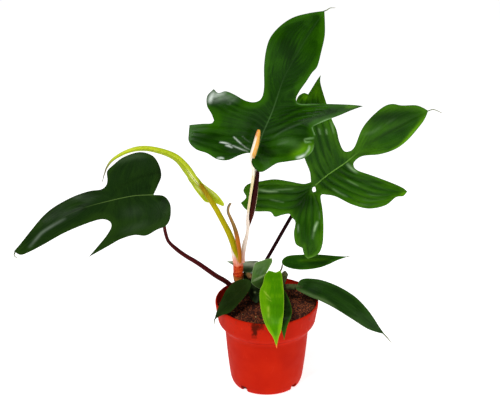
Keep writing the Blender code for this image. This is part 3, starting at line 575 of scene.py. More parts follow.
# Every stem, leaf and sheath from here on is drawn in millimetres.
MAIN_STEM = [
    (-33, 70, 22, 4.3), (-33, 105, 22, 4.3), (-33.2, 131, 22, 4.4), (-33.2, 137.5, 22, 5.5),
    (-33.2, 147.5, 22, 6), (-33.2, 152, 22, 5.8), (-33.2, 154.5, 22, 5),
]
SIDE_STEM = [
    (13.7, 74, 12, 2.7), (13.7, 106, 12, 2.7), (16.5, 122, 13.5, 3), (19.6, 133.5, 16, 3.4),
    (20.5, 140, 16, 3.5),
]
NODE_BUD = [
    (-24.5, 139.2, 26.2, 1.4), (-21.8, 138.8, 25.6, 2.6), (-20, 136.6, 25, 3), (-19, 134, 24.8, 1.8),
]

collar = Finish("red_stem", Specular_IOR_Level=0.08)
patches = collar.noise(300.0, 4.0)
collar.colour = collar.mix(collar.ramp(patches, 0.42, 0.60), paint(186, 34, 6), paint(222, 80, 24))
rings = collar.noise(120.0, 3.0, collar.moved(scale=(0.6, 0.6, 6.0)))
collar.cover(collar.ramp(rings, 0.54, 0.66, 0.0, 0.5), paint(234, 112, 62))
collar.cover(collar.ramp(rings, 0.34, 0.46, 0.6, 0.0), paint(140, 22, 6))
height = collar.plus(collar.height(), collar.ramp(patches, 0.3, 0.7, -0.0014, 0.0014))
collar.cover(collar.ramp(height, *COLLAR_FOOT, 1.0, 0.0), paint(150, 100, 36))
collar.cover(collar.ramp(height, *COLLAR_TOP), paint(240, 168, 136))
red_skin = collar.dress(collar.ramp(patches, 0.3, 0.7, 0.4, 0.55), rings)
grow_stem = stem_grower(red_skin)
stem("main_stem_skin", MAIN_STEM, "red_stem", red_skin, "main_stem", Depth=0.0006, Grain=420.0,
     swellings=[(0.42, 1.8, 0.16), (0.62, 1.6, 0.20), (0.80, 2.2, 0.06)])
bud_skin = stem_finish("bud_skin", (56, 76, 30), (132, 100, 58), (96, 36, 22), (196, 150, 110), 0.7, 0.8)
stem("node_bud", NODE_BUD, "woody_stem", bud_skin, Depth=0.0014, Grain=520.0)
woody_skin = stem_finish("woody_stem", (58, 46, 30), (84, 74, 46), (82, 84, 50), (44, 34, 22), 0.75, 0.8)
stem("side_stem_skin", SIDE_STEM, "woody_stem", woody_skin, "side_stem", Depth=0.0009, Grain=380.0,
     swellings=[(0.55, 1.4, 0.22), (0.78, 1.4, 0.20), (0.98, 1.2, 0.15)])

# The petioles: round leaf stalks, swollen a little where they leave the stem and where they meet
# the blade. Those of the large leaves are dark maroon, the newest is olive, the small ones woody.

TOP_PETIOLE = [
    (-29, 156.5, 22.8, 1.5), (-27.8, 168, 22, 1.5), (-25.2, 180, 20.2, 1.4), (-23.1, 188, 18.6, 1.3),
    (-21.8, 198, 17, 1.4), (-19.7, 207, 15.5, 2.1), (-18, 216.6, 14, 2.9), (-14.9, 235.7, 10.8, 3.1),
    (-12.2, 254.6, 7.8, 2.5), (-11, 267, 5, 2), (-12, 285.5, 6.1, 1.4),
]
RIGHT_PETIOLE = [
    (-27.6, 111.5, 23.6, 1.7), (-17.5, 127, 28.5, 1.8), (0.5, 160, 37, 2.1), (26.5, 211, 46, 2.1),
    (39.8, 233, 49, 1.9), (46.2, 244, 49, 1.5), (50, 251.5, 47.9, 1),
]
LEFT_PETIOLE = [
    (-38.3, 121.3, 20.2, 2.7), (-48, 130, 18, 3), (-60, 138, 15, 2.9), (-79, 153, 10, 2.7),
    (-93.7, 163, 6, 2.5), (-104, 171.5, 3.5, 2.4), (-112.5, 181, 1, 2), (-115.8, 192, -1, 2),
    (-117.5, 203, -2, 1.9), (-121.5, 221, -3, 1.8), (-127.8, 237.8, -5.5, 1.2),
]
NEW_PETIOLE = [
    (-33.4, 155.2, 20.5, 2.2), (-34, 162.6, 19, 2.7), (-36.4, 170.2, 18, 3.5), (-39.4, 180.3, 15.5, 3.8),
    (-43, 190.4, 13, 3.6), (-47.5, 200.4, 10.5, 3.3), (-52.4, 210.5, 7, 3.2), (-57.3, 220.6, 3.5, 3.1),
    (-62.2, 229.3, 1, 3), (-68.3, 240, -2, 2.9), (-74.5, 250.5, -4, 2.6),
]
SMALL_PETIOLES = {
    "rim": [(-28.3, 125.5, 19.5, 1.1), (-23.5, 129, 15, 1.1), (-20, 130, 7.9, 0.8)],
    "bright": [(12.7, 119, 10.5, 1), (12, 130, 11, 1), (12, 141.8, 10.5, 0.8)],
    "shaded": [(18.2, 115.5, 10, 1), (17.8, 120.5, 7.5, 1), (16.6, 124, 7.6, 0.7)],
    "upturned": [(10.8, 112, 13, 1), (6, 117, 13.5, 1), (2.6, 120.4, 12, 0.9)],
    "hidden": [(-30.7, 124, 26.7, 1), (-22.5, 134, 34.5, 1), (-14.5, 143, 39.5, 1),
               (-10.2, 149.2, 41.2, 0.9)],
    "level": [(18.1, 133, 18.2, 0.9), (15.5, 141.5, 21, 0.9), (17, 147, 25, 0.9),
              (17.6, 151.2, 31.6, 0.8)],
    "long": [(19, 122.5, 11, 3.4), (27.5, 122.5, 8.5, 3.6), (35, 122.8, 6, 3), (40, 122.2, 5, 1.6)],
}

top_skin = stem_finish("maroon_top", (70, 22, 6), (44, 4, 3), (28, 0, 5), (64, 14, 8), 0.45, 0.25,
                       (0.35, 0.65))
right_skin = stem_finish("maroon_right", (40, 8, 8), (32, 3, 6), (40, 8, 4), (66, 24, 26), 0.45, 0.3)
left_skin = stem_finish("maroon_left", (54, 12, 8), (66, 8, 10), (60, 10, 10), (112, 34, 34), 0.45, 0.35)
olive_skin = stem_finish("olive_stem", (236, 180, 110), (168, 156, 0), (140, 108, 4), (190, 182, 30),
                         0.45, 0.35, (0.0, 0.10))
broad_skin = stem_finish("broad_stem", (52, 50, 32), (76, 86, 48), (48, 70, 28), (40, 42, 24), 0.6, 0.8)
stem("petiole_top_skin", TOP_PETIOLE, "maroon_stem", top_skin, "petiole_top",
     swellings=[(0.97, 4, 0.15)])
stem("petiole_right_skin", RIGHT_PETIOLE, "maroon_stem", right_skin, "petiole_right",
     swellings=[(0.02, 4, 0.25), (0.95, 4, 0.20)])
stem("petiole_left_skin", LEFT_PETIOLE, "maroon_stem", left_skin, "petiole_left",
     swellings=[(0.01, 4, 0.20), (0.80, 5, 0.12)])
stem("petiole_new_skin", NEW_PETIOLE, "olive_stem", olive_skin, "petiole_new")
for name, route in SMALL_PETIOLES.items():
    skin = broad_skin if name == "long" else woody_skin
    stem(f"petiole_{name}_skin", route, "woody_stem", skin, f"petiole_{name}", Depth=0.0002)

# The sheaths: thin papery scales that wrapped each young leaf. The tall one clasps the top leaf's
# stalk and ends as a pointed cream hood, the short one has dried, browned and curled over. A
# pinkish scale is left at the foot of the new leaf's stalk, a torn brown cuff on the main stem.

SHEATH_SIDES = 26
SHEATH_STEP = 0.001
SHEATH_WALL = 0.0004
THIN_AT_TIP = 0.6
SHEET_CORNER = math.radians(50)
# Added where a length may be nothing, before it divides.
TINY = 1e-12

TALL_SHEATH = [
    (-28, 154.5, 22.4, 2.6, 15, 375), (-27.6, 165, 22.2, 2.6, 15, 375), (-25.7, 178, 20.5, 2.9, 20, 376),
    (-23.3, 187.5, 18.6, 2.2, 24, 378), (-22.1, 197, 17.2, 1.9, 30, 376),
    (-20.8, 207, 15.6, 3.5, 75, 366), (-18.8, 216.6, 14.3, 4.8, 110, 364),
    (-16, 235.7, 11.2, 5.1, 116, 362), (-14.1, 253, 8.5, 4.7, 112, 345), (-14, 266, 7.5, 4.1, 100, 290),
    (-15.3, 277, 6.5, 3.8, 86, 255), (-16.8, 283.5, 4.5, 3.8, 70, 260), (-16.4, 288, 0, 3.7, 30, 210),
    (-15.1, 293, -3, 3.8, 20, 200), (-13, 301, -3.8, 3.6, 15, 200), (-11.5, 308.6, -3.2, 3.1, 10, 200),
    (-10.3, 314.5, -2.2, 2.3, 10, 200), (-9.9, 317.2, -1.6, 1.3, 10, 200),
]
CURLED_SHEATH = [
    (-31.2, 154.5, 17.6, 1.8, 0, 200), (-31.4, 164, 14.6, 2.2, -10, 190), (-32, 170.2, 13, 2.6, -10, 190),
    (-33.4, 180.3, 10.2, 2.8, -10, 190), (-35.2, 190.4, 7.7, 2.7, 0, 190),
    (-37.9, 200.4, 5, 2.3, 10, 200), (-41.8, 210.5, 2.6, 2, 20, 210), (-44, 216, 1.4, 1.8, 20, 210),
    (-44.6, 220.5, 1, 1.7, 10, 200), (-43.6, 225.2, 1, 1.6, 0, 190), (-41.2, 229.2, 1.2, 1.3, 0, 190),
]
FOOT_SCALE = [
    (-35.2, 151.5, 20, 3.4, 20, 220), (-36.6, 158, 20, 3.2, 20, 220), (-38.5, 166, 19.5, 2.8, 30, 220),
    (-40.3, 173.5, 19, 1.6, 40, 220), (-41.5, 179, 18.8, 0.5, 40, 220),
]
OLD_CUFF = [
    (-33.2, 131, 22, 5.2, -20, 200), (-33.2, 134.5, 22, 5.8, -20, 200), (-33.3, 137.8, 22, 6.4, -15, 195),
]


def wrapped_sheet(name, stations, slot, finish, *nodes, wall=SHEATH_WALL, ears=(0, 0), ear_start=1.0,
                  flatness=1.0, curl=0.0):
    """A thin sheet rolled about a line of (x, z, depth, radius, from angle, to angle)."""
    stations = np.array(stations, float)
    stations[:, :4] /= 1000
    line = smooth_line(np.column_stack([place(stations[:, :3]), stations[:, 3:]]), SHEATH_STEP)
    spots, radii, turns = line[:, :3], line[:, 3], np.radians(line[:, 4:6])
    along = lengths_along(spots)
    share = along / along[-1]
    heading = np.gradient(spots, axis=0)
    heading /= np.linalg.norm(heading, axis=1)[:, None]
    across = np.cross(heading, np.array(CAMERA_PLACE) - spots)
    across /= np.linalg.norm(across, axis=1)[:, None]
    toward = np.cross(across, heading)
    sides = np.linspace(0, 1, SHEATH_SIDES + 1)
    angles = turns[:, :1] + (turns[:, 1:] - turns[:, :1]) * sides
    late = np.clip((share - ear_start) / (1 - ear_start + TINY), 0, 1)[:, None] ** 2
    reach = np.where(np.cos(angles) > 0, ears[0], ears[1]) * np.abs(np.cos(angles)) ** 1.5 * late
    rings = []
    thickness = np.minimum(wall, radii * THIN_AT_TIP)[:, None]
    for shrink in (0, 1):
        girth = radii[:, None] * (1 - curl * sides) - thickness * shrink
        ring = spots[:, None] + across[:, None] * (girth * np.cos(angles))[..., None]
        ring += toward[:, None] * (girth * np.sin(angles) * flatness)[..., None]
        ring += heading[:, None] * reach[..., None]
        rings.append(ring)
    section = np.concatenate([rings[0], rings[1][:, ::-1]], axis=1)
    count, size = section.shape[:2]
    faces = []
    for row in range(count - 1):
        for side in range(size):
            after = (side + 1) % size
            faces.append((row * size + side, row * size + after,
                          (row + 1) * size + after, (row + 1) * size + side))
    for row in (0, count - 1):
        for side in range(SHEATH_SIDES):
            quad = [row * size + i for i in (side, side + 1, size - 2 - side, size - 1 - side)]
            faces.append(quad[::-1] if row == 0 else quad)
    mesh = bpy.data.meshes.new(name)
    mesh.from_pydata(section.reshape(-1, 3).tolist(), [], faces)
    shaped = bmesh.new()
    shaped.from_mesh(mesh)
    bmesh.ops.recalc_face_normals(shaped, faces=shaped.faces)
    shaped.to_mesh(mesh)
    shaped.free()
    store(mesh, {"along": np.repeat(share, size),
                 "across": np.tile(np.concatenate([sides, sides[::-1]]), count),
                 "inner": np.tile(np.repeat([0.0, 1.0], size // 2), count)})
    mesh.materials.append(finish)
    mesh.shade_smooth()
    mesh.set_sharp_from_angle(angle=SHEET_CORNER)
    fit(new_piece(name, mesh), slot, *nodes)


def scale_finish(name, foot, bands, fold, streak):
    """A drying scale: bands of colour from foot to tip, one side of its fold tinted past a point, and fine
    lengthwise fibres.
    """
    scale = Finish(name, Specular_IOR_Level=0.15)
    wander = scale.ramp(scale.noise(90.0, 3.0), 0.2, 0.8, -0.03, 0.03)
    along = scale.plus(scale.attribute("along"), wander)
    scale.colour = paint(*foot)
    for start, end, tint in bands:
        scale.cover(scale.ramp(along, start, end), paint(*tint))
    # One side of the fold takes the fold's tint; on the tall sheath's hood this is painted shade.
    start, end, tint = fold
    near_fold = scale.ramp(scale.attribute("across"), 0.50, 0.40)
    folded = scale.times(near_fold, scale.ramp(along, start, end))
    scale.cover(folded, paint(*tint))
    fibres = scale.noise(800.0, 4.0, scale.moved(scale=(1, 1, 0.1)), 0.6)
    scale.cover(scale.ramp(fibres, 0.45, 0.75, 0.0, 0.45), paint(*streak))
    return scale.dress(scale.ramp(fibres, 0.3, 0.7, 0.42, 0.60), fibres, 0.00012)


# On the tall sheath's hood the golden side of the fold is painted shade.
pale_scale = scale_finish(
    "pale_sheath", (244, 172, 148),
    [(0.0, 0.14, (242, 224, 208)), (0.36, 0.46, (240, 222, 166)), (0.60, 0.68, (250, 240, 222)),
     (0.90, 0.975, (228, 140, 50))],
    (0.79, 0.84, (228, 166, 66)), (222, 200, 182))
brown_scale = scale_finish(
    "brown_sheath", (206, 124, 34),
    [(0.0, 0.12, (196, 118, 12)), (0.12, 0.30, (184, 98, 10)), (0.38, 0.62, (118, 84, 28)),
     (0.74, 0.88, (106, 102, 86))],
    (0.5, 0.7, (150, 116, 60)), (146, 84, 20))
pink_scale = scale_finish(
    "foot_scale", (238, 120, 88),
    [(0.0, 0.25, (246, 164, 140)), (0.22, 0.55, (248, 228, 216))],
    (0.9, 1.0, (240, 200, 180)), (246, 214, 196))
torn_scale = scale_finish(
    "old_scale", (130, 62, 24),
    [(0.1, 0.5, (206, 120, 50)), (0.6, 0.9, (176, 96, 34))],
    (0.8, 0.9, (150, 80, 30)), (104, 50, 20))
wrapped_sheet("sheath_tall_scale", TALL_SHEATH, "pale_sheath", pale_scale, "sheath_tall", curl=0.12)
wrapped_sheet("sheath_curled_scale", CURLED_SHEATH, "brown_sheath", brown_scale, "sheath_curled",
              curl=0.12)
wrapped_sheet("foot_scale", FOOT_SCALE, "pale_sheath", pink_scale)
wrapped_sheet("old_cuff", OLD_CUFF, "brown_sheath", torn_scale, wall=0.0005, ears=(0.0016, 0.0026),
              ear_start=0.3)

# The blades: thin leathery sheets, cut into lobes on the three large leaves and plain on the
# small ones. Each folds softly along its midrib, which stands out thick and pale underneath,
# and lies quilted between the veins that run along every lobe.

# How far apart a blade's points lie, and how clear of lines they keep, as shares of that step.
LARGE_STEP = 0.0012
SMALL_STEP = 0.0011
VEIN_STEP = 0.002
STROKE_STEP = 0.001
EDGE_SPACING = 0.55
VEIN_SPACING = 0.45
POINT_SPACING = 0.5
LINE_SPACING = 0.3
LEAST_RUN = 3
# A plain blade's veins: their shares of the way out to its margin, and where they start and end.
PLAIN_VEINS = (0.25, 0.5, 0.75)
PLAIN_VEIN_RUN = np.linspace(0.05, 0.94, 24)
# The sheet's thickness, and how far each of its shapes reaches, in metres.
SHEET = 0.00022
MARGIN = 0.00012
MARGIN_REACH = 0.0015
MIDRIB = 0.0009
MIDRIB_REACH = 0.0013
MIDRIB_TAPER = 0.05
MIDRIB_TIP = 0.1
FOLD_SOFTNESS = 0.0065
PILLOW_REACH = 0.0018
LOBE_BLEND = 0.004
EDGE_EASE = 0.004
BASE_CREASE = 0.7
BASE_REACH = 0.02
CURL_DEPTH = 0.0035
FARTHEST = 0.01
STROKE_EASE = 0.45
# The layers of brush strokes on a blade, most of them painted light, shade and highlights.
LAYERS_OF_LIGHT = ("shade", "light", "bright", "pale", "sheen")


def closed_outline(strokes, step):
    """One closed outline from strokes that meet at sharp corners."""
    following = strokes[1:] + strokes[:1]
    lines = [smooth_line(metres(stroke + after[:1]), step)[:-1]
             for stroke, after in zip(strokes, following)]
    return np.vstack(lines)


def closed(ring):
    """An outline's points with the first one again at the end."""
    return np.vstack([ring, ring[:1]])


def distance_to(line, points):
    """How far each point lies from a line of points."""
    starts = line[:-1]
    runs = np.diff(line, axis=0)
    offsets = points[:, None] - starts
    share = np.clip((offsets * runs).sum(2) / np.maximum((runs ** 2).sum(1), TINY), 0, 1)
    return np.linalg.norm(offsets - runs * share[..., None], axis=2).min(1)


def nearest(lines, points):
    """How far each point lies from the nearest of some lines, at most a centimetre."""
    return np.min([distance_to(line, points) for line in lines] + [np.full(len(points), FARTHEST)], axis=0)


def within(points, outline):
    """Which points lie inside a closed outline."""
    after = np.roll(outline, -1, axis=0)
    x, z = points[:, :1], points[:, 1:]
    crosses = (outline[:, 1] > z) != (after[:, 1] > z)
    rise = np.where(after[:, 1] == outline[:, 1], 1.0, after[:, 1] - outline[:, 1])
    reach = outline[:, 0] + (z - outline[:, 1]) / rise * (after[:, 0] - outline[:, 0])
    return (crosses & (x < reach)).sum(1) % 2 == 1


def spread(line, shares):
    """The points of a line at some shares of its length."""
    along = lengths_along(line)
    return np.column_stack([np.interp(shares, along / along[-1], side) for side in line.T])


def bent_sheet(points, bends):
    """The depth of a thin sheet that bends smoothly through (x, z, depth) points."""
    spots, depths = bends[:, :2], bends[:, 2]
    count = len(spots)

    def stiffness(gaps):
        return gaps ** 2 * np.log(gaps + TINY)

    system = np.zeros((count + 3, count + 3))
    system[:count, :count] = stiffness(np.linalg.norm(spots[:, None] - spots, axis=2))
    system[:count, count] = 1
    system[:count, count + 1:] = spots
    system[count:, :count] = system[:count, count:].T
    weights = np.linalg.solve(system, np.append(depths, [0, 0, 0]))
    gaps = np.linalg.norm(points[:, None] - spots, axis=2)
    return stiffness(gaps) @ weights[:count] + weights[count] + points @ weights[count + 1:]


def lobe_veins(lobes):
    """Each lobe's crease depth and veins, which run through gates of (left x, z, right x, z)."""
    drawn = []
    for count, depth, gates in lobes:
        gates = metres(gates)
        shares = (np.arange(count) + 0.5) / count
        veins = [smooth_line(gates[:, :2] + (gates[:, 2:] - gates[:, :2]) * share, VEIN_STEP)
                 for share in shares]
        drawn.append((depth / 1000, veins))
    return drawn


def side_veins(outline, rib):
    """Veins that run between the midrib and the two margins of a plain blade."""
    outline = np.roll(outline, -np.linalg.norm(outline - rib[0], axis=1).argmin(), axis=0)
    end = np.linalg.norm(outline - rib[-1], axis=1).argmin()
    spine = spread(rib, PLAIN_VEIN_RUN)
    veins = []
    for side in (outline[:end + 1], closed(outline)[end:][::-1]):
        margin = spread(side, PLAIN_VEIN_RUN)
        veins += [spine + (margin - spine) * share for share in PLAIN_VEINS]
    return veins


def clear_run(line, others, outline, step):
    """The longest run of a vein that keeps clear of other lines and of the margin."""
    clear = within(line, outline) & (distance_to(closed(outline), line) > step * EDGE_SPACING)
    for other in others:
        clear &= distance_to(other, line) > step * VEIN_SPACING
    runs = np.split(np.arange(len(line)), np.where(~clear)[0])
    longest = max(([i for i in run if clear[i]] for run in runs), key=len)
    return line[longest]


def blade_points(outline, holes, lines, step):
    """Evenly packed points inside an outline, clear of its edge and of the veins."""
    low, high = outline.min(0), outline.max(0)
    columns = np.arange(low[0], high[0], step)
    rows = np.arange(low[1], high[1], step * math.sqrt(0.75))
    spots = np.vstack([np.column_stack([columns + number % 2 * step / 2, np.full(len(columns), z)])
                       for number, z in enumerate(rows)])
    spots = spots[within(spots, outline)]
    spots = spots[distance_to(closed(outline), spots) > step * EDGE_SPACING]
    for line in lines + [closed(hole) for hole in holes]:
        spots = spots[distance_to(line, spots) > step * POINT_SPACING]
    return spots


def flat_blade(leaf, step):
    """A blade drawn flat: its points, triangles, rings, midrib and the veins of each lobe."""
    outline = closed_outline(leaf["outline"], step)
    holes = [closed_outline([hole], step / 2) for hole in leaf.get("holes", [])]
    rib = smooth_line(metres(leaf["rib"]), step)
    if "lobes" in leaf:
        lobes = lobe_veins(leaf["lobes"])
    else:
        lobes = [(leaf["crease"] / 1000, side_veins(outline, rib))]
    lines = [rib]
    creases = []
    for depth, veins in lobes:
        kept = len(lines)
        for vein in veins:
            run = clear_run(vein, lines, outline, step)
            if len(run) > LEAST_RUN:
                lines.append(run)
        creases.append((depth, lines[kept:]))
    points, edges = [], []
    for ring in [outline] + holes:
        first = len(points)
        points.extend(ring)
        edges.extend((first + i, first + (i + 1) % len(ring)) for i in range(len(ring)))
    for line in lines:
        inner = line[distance_to(closed(outline), line) > step * LINE_SPACING]
        first = len(points)
        points.extend(inner)
        edges.extend((first + i, first + i + 1) for i in range(len(inner) - 1))
    points.extend(blade_points(outline, holes, lines, step))
    flat, _, faces = delaunay_2d_cdt([Vector(point) for point in points], edges, [], 0, MERGE)[:3]
    flat = np.array([tuple(point) for point in flat])
    faces = np.array([tuple(face) for face in faces])
    middles = flat[faces].mean(1)
    kept = within(middles, outline)
    for hole in holes:
        kept &= ~within(middles, hole)
    used, faces = np.unique(faces[kept], return_inverse=True)
    return flat[used], faces.reshape(-1, 3), [outline] + holes, rib, creases


def marked(flat, strokes):
    """How strongly brush strokes of (width, strength, route) mark each point of a blade."""
    strength = np.zeros(len(flat))
    for width, most, route in strokes:
        line = smooth_line(metres(route), STROKE_STEP)
        ease = np.sin(np.linspace(0, math.pi, len(line))) ** STROKE_EASE
        away = np.linalg.norm(flat[:, None] - line, axis=2) * 1000 / width
        strength = np.maximum(strength, (most * ease * np.exp(-away ** 2)).max(1))
    return strength


def two_sided(name, spots, faces, front, back):
    """A closed sheet: triangles set forward and back along their normals, joined at the rim."""
    corners = spots[faces]
    facing = np.cross(corners[:, 1] - corners[:, 0], corners[:, 2] - corners[:, 0])
    normals = np.zeros_like(spots)
    for corner in range(3):
        np.add.at(normals, faces[:, corner], facing)
    normals /= np.linalg.norm(normals, axis=1)[:, None]
    sheets = [spots + normals * front[:, None], spots - normals * back[:, None]]
    count = len(spots)
    sides = np.vstack([faces[:, [0, 1]], faces[:, [1, 2]], faces[:, [2, 0]]])
    _, first, repeats = np.unique(np.sort(sides, axis=1), axis=0, return_index=True, return_counts=True)
    polygons = faces.tolist() + (faces[:, ::-1] + count).tolist()
    polygons += [(b, a, a + count, b + count) for a, b in sides[first[repeats == 1]].tolist()]
    mesh = bpy.data.meshes.new(name)
    mesh.from_pydata(np.vstack(sheets).tolist(), [], polygons)
    return mesh


def blade(name, leaf, slot, finish, step=SMALL_STEP, solid=True):
    """A blade as one closed sheet, folded, creased and curled, with what its finish needs."""
    flat, faces, rings, rib, creases = flat_blade(leaf, step)
    to_edge = nearest([closed(ring) for ring in rings], flat)
    to_rib = nearest([rib], flat)
    to_lobe = np.array([nearest(veins, flat) for _, veins in creases])
    to_vein = to_lobe.min(0)
    weights = np.exp(-to_lobe / LOBE_BLEND) + TINY
    crease = np.array([depth for depth, _ in creases]) @ weights / weights.sum(0)
    far = np.linalg.norm(flat - rib[0], axis=1)
    crease *= 1 + BASE_CREASE * np.exp(-far / BASE_REACH)
    depth = bent_sheet(flat, metres(leaf["bends"]))
    depth += leaf["fold"] * (np.hypot(to_rib, FOLD_SOFTNESS) - FOLD_SOFTNESS)
    pillow = 1 - np.exp(-np.minimum(to_vein, to_rib) / PILLOW_REACH)
    depth -= crease * pillow * (1 - np.exp(-to_edge / EDGE_EASE))
    for x, z, reach, lift in metres(leaf.get("curls", [])):
        away = np.linalg.norm(flat - (x, z), axis=1)
        depth += lift * np.exp(-(away / reach) ** 2 - to_edge / CURL_DEPTH)
    half = MARGIN + (SHEET - MARGIN) * (1 - np.exp(-to_edge / MARGIN_REACH))
    taper = np.clip(np.linalg.norm(flat - rib[-1], axis=1) / MIDRIB_TAPER, MIDRIB_TIP, 1)
    keel = MIDRIB * step / LARGE_STEP * taper * np.exp(-(to_rib / MIDRIB_REACH) ** 2)
    keel *= np.clip(to_edge / EDGE_EASE, 0, 1)
    mesh = two_sided(name, place(np.column_stack([flat, depth])), faces, half, half + keel)
    looks = {"rib": to_rib * 1000, "vein": to_vein * 1000, "edge": to_edge * 1000,
             "far": far / far.max(), "pleat": np.minimum(crease * 1000, 1)}
    store(mesh, {label: np.tile(value, 2) for label, value in looks.items()})
    unmarked = np.zeros(len(flat))
    store(mesh, {"under": np.append(unmarked, unmarked + 1)})
    # The brush strokes of painted light, shade and highlights, and of pale tones, on the face only.
    for layer in LAYERS_OF_LIGHT:
        store(mesh, {layer: np.append(marked(flat, leaf.get(layer, [])), unmarked)})
    mesh.materials.append(finish)
    mesh.shade_smooth()
    mesh.set_sharp_from_angle(angle=SHEET_CORNER)
    fit(new_piece(name + "_sheet", mesh), slot, *([name] if solid else []))


def leaf_finish(name, deep, margin, under, rib, line=(0.4, 0.0, 0.0), fade=(0.3, 0.55), rim=0.2,
                vein=0.05, band=9.0, edge=None, dusk=0.38, shine=(196, 214, 192)):
    """A leathery leaf: a deep middle, a lighter margin, a pale midrib that fades, a dull underside.

    The line is the midrib's (half width, strength at the foot, strength past the fade), the band
    how broad the lighter margin is, dusk how dark the painted shade along the veins and of the shade
    strokes is against the middle, and shine the colour of the painted highlights.
    """
    leaf = Finish(name, Specular_IOR_Level=0.05)
    to_edge, to_rib, to_vein = leaf.attribute("edge"), leaf.attribute("rib"), leaf.attribute("vein")
    pleat, beneath = leaf.attribute("pleat"), leaf.attribute("under")
    edge = paint(*(edge or rib))
    deep, margin, under, rib = paint(*deep), paint(*margin), paint(*under), paint(*rib)
    dark = [channel * dusk for channel in deep[:3]] + [1.0]
    lighter = [light * 0.7 + pale * 0.3 for light, pale in zip(margin, rib)]
    broad = leaf.noise(26.0, 3.0)
    reach = leaf.plus(to_edge, leaf.ramp(broad, 0.3, 0.7, band * -0.55, band * 0.55))
    leaf.colour = leaf.mix(leaf.ramp(reach, 0.0, band), margin, deep)
    lane = leaf.node("CombineXYZ", {0: leaf.times(to_vein, 0.3)}).outputs[0]
    flow = leaf.node("VectorMath", {0: lane, 1: leaf.moved(scale=(55, 55, 38))}, operation="ADD")
    grain = leaf.noise(1.0, 5.0, flow.outputs[0], 0.62)
    leaf.cover(leaf.ramp(grain, 0.45, 0.75, 0.0, 0.6), margin)
    leaf.cover(leaf.ramp(grain, 0.25, 0.47, 0.6, 0.0), dark)
    # Painted light between the veins and painted shade along them, as strong as the creases are deep.
    pleat = leaf.times(pleat, leaf.ramp(leaf.noise(34.0, 2.0), 0.38, 0.62, 0.35, 1.0))
    painted_crest_light = leaf.times(leaf.ramp(to_vein, 1.3, 3.0, 0.0, 0.16), pleat)
    leaf.cover(painted_crest_light, lighter)
    painted_crease_shade = leaf.times(leaf.ramp(to_vein, 0.1, 1.2, 0.55, 0.0), pleat)
    leaf.cover(painted_crease_shade, dark)
    leaf.cover(leaf.ramp(to_edge, 0.15, 0.6, rim, 0.0), edge)
    waver = leaf.ramp(grain, 0.3, 0.6, 0.75, 1.0)
    # The brush strokes: sheen is a painted highlight and shade painted shade; bright and light are partly
    # the blade's own tone and partly painted light; pale is its pale lines, on the foot flaps painted
    # highlights.
    tints = dict(shade=dark, light=margin, bright=paint(98, 158, 8), pale=rib, sheen=paint(*shine))
    for layer in LAYERS_OF_LIGHT:
        leaf.cover(leaf.times(leaf.attribute(layer), waver), tints[layer])
    leaf.cover(leaf.ramp(to_vein, 0.1, 0.9, vein, 0.0), lighter)
    below = leaf.mix(leaf.ramp(to_vein, 0.1, 1.0, 0.4, 0.0), under, rib)
    leaf.cover(beneath, below)
    width, near, past = line
    shown = leaf.ramp(leaf.attribute("far"), *fade, near, past)
    shown = leaf.combine("MAXIMUM", shown, leaf.times(beneath, 0.8))
    streak = leaf.times(leaf.ramp(to_rib, width * 0.6, width * 1.5, 1.0, 0.0), shown)
    leaf.cover(streak, rib)
    rough = leaf.ramp(leaf.noise(60.0, 4.0), 0.3, 0.7, 0.22, 0.36)
    rough = leaf.plus(rough, leaf.times(beneath, 0.22))
    relief = leaf.noise(300.0, 4.0, roughness=0.55)
    return leaf.dress(rough, relief, 0.00006)
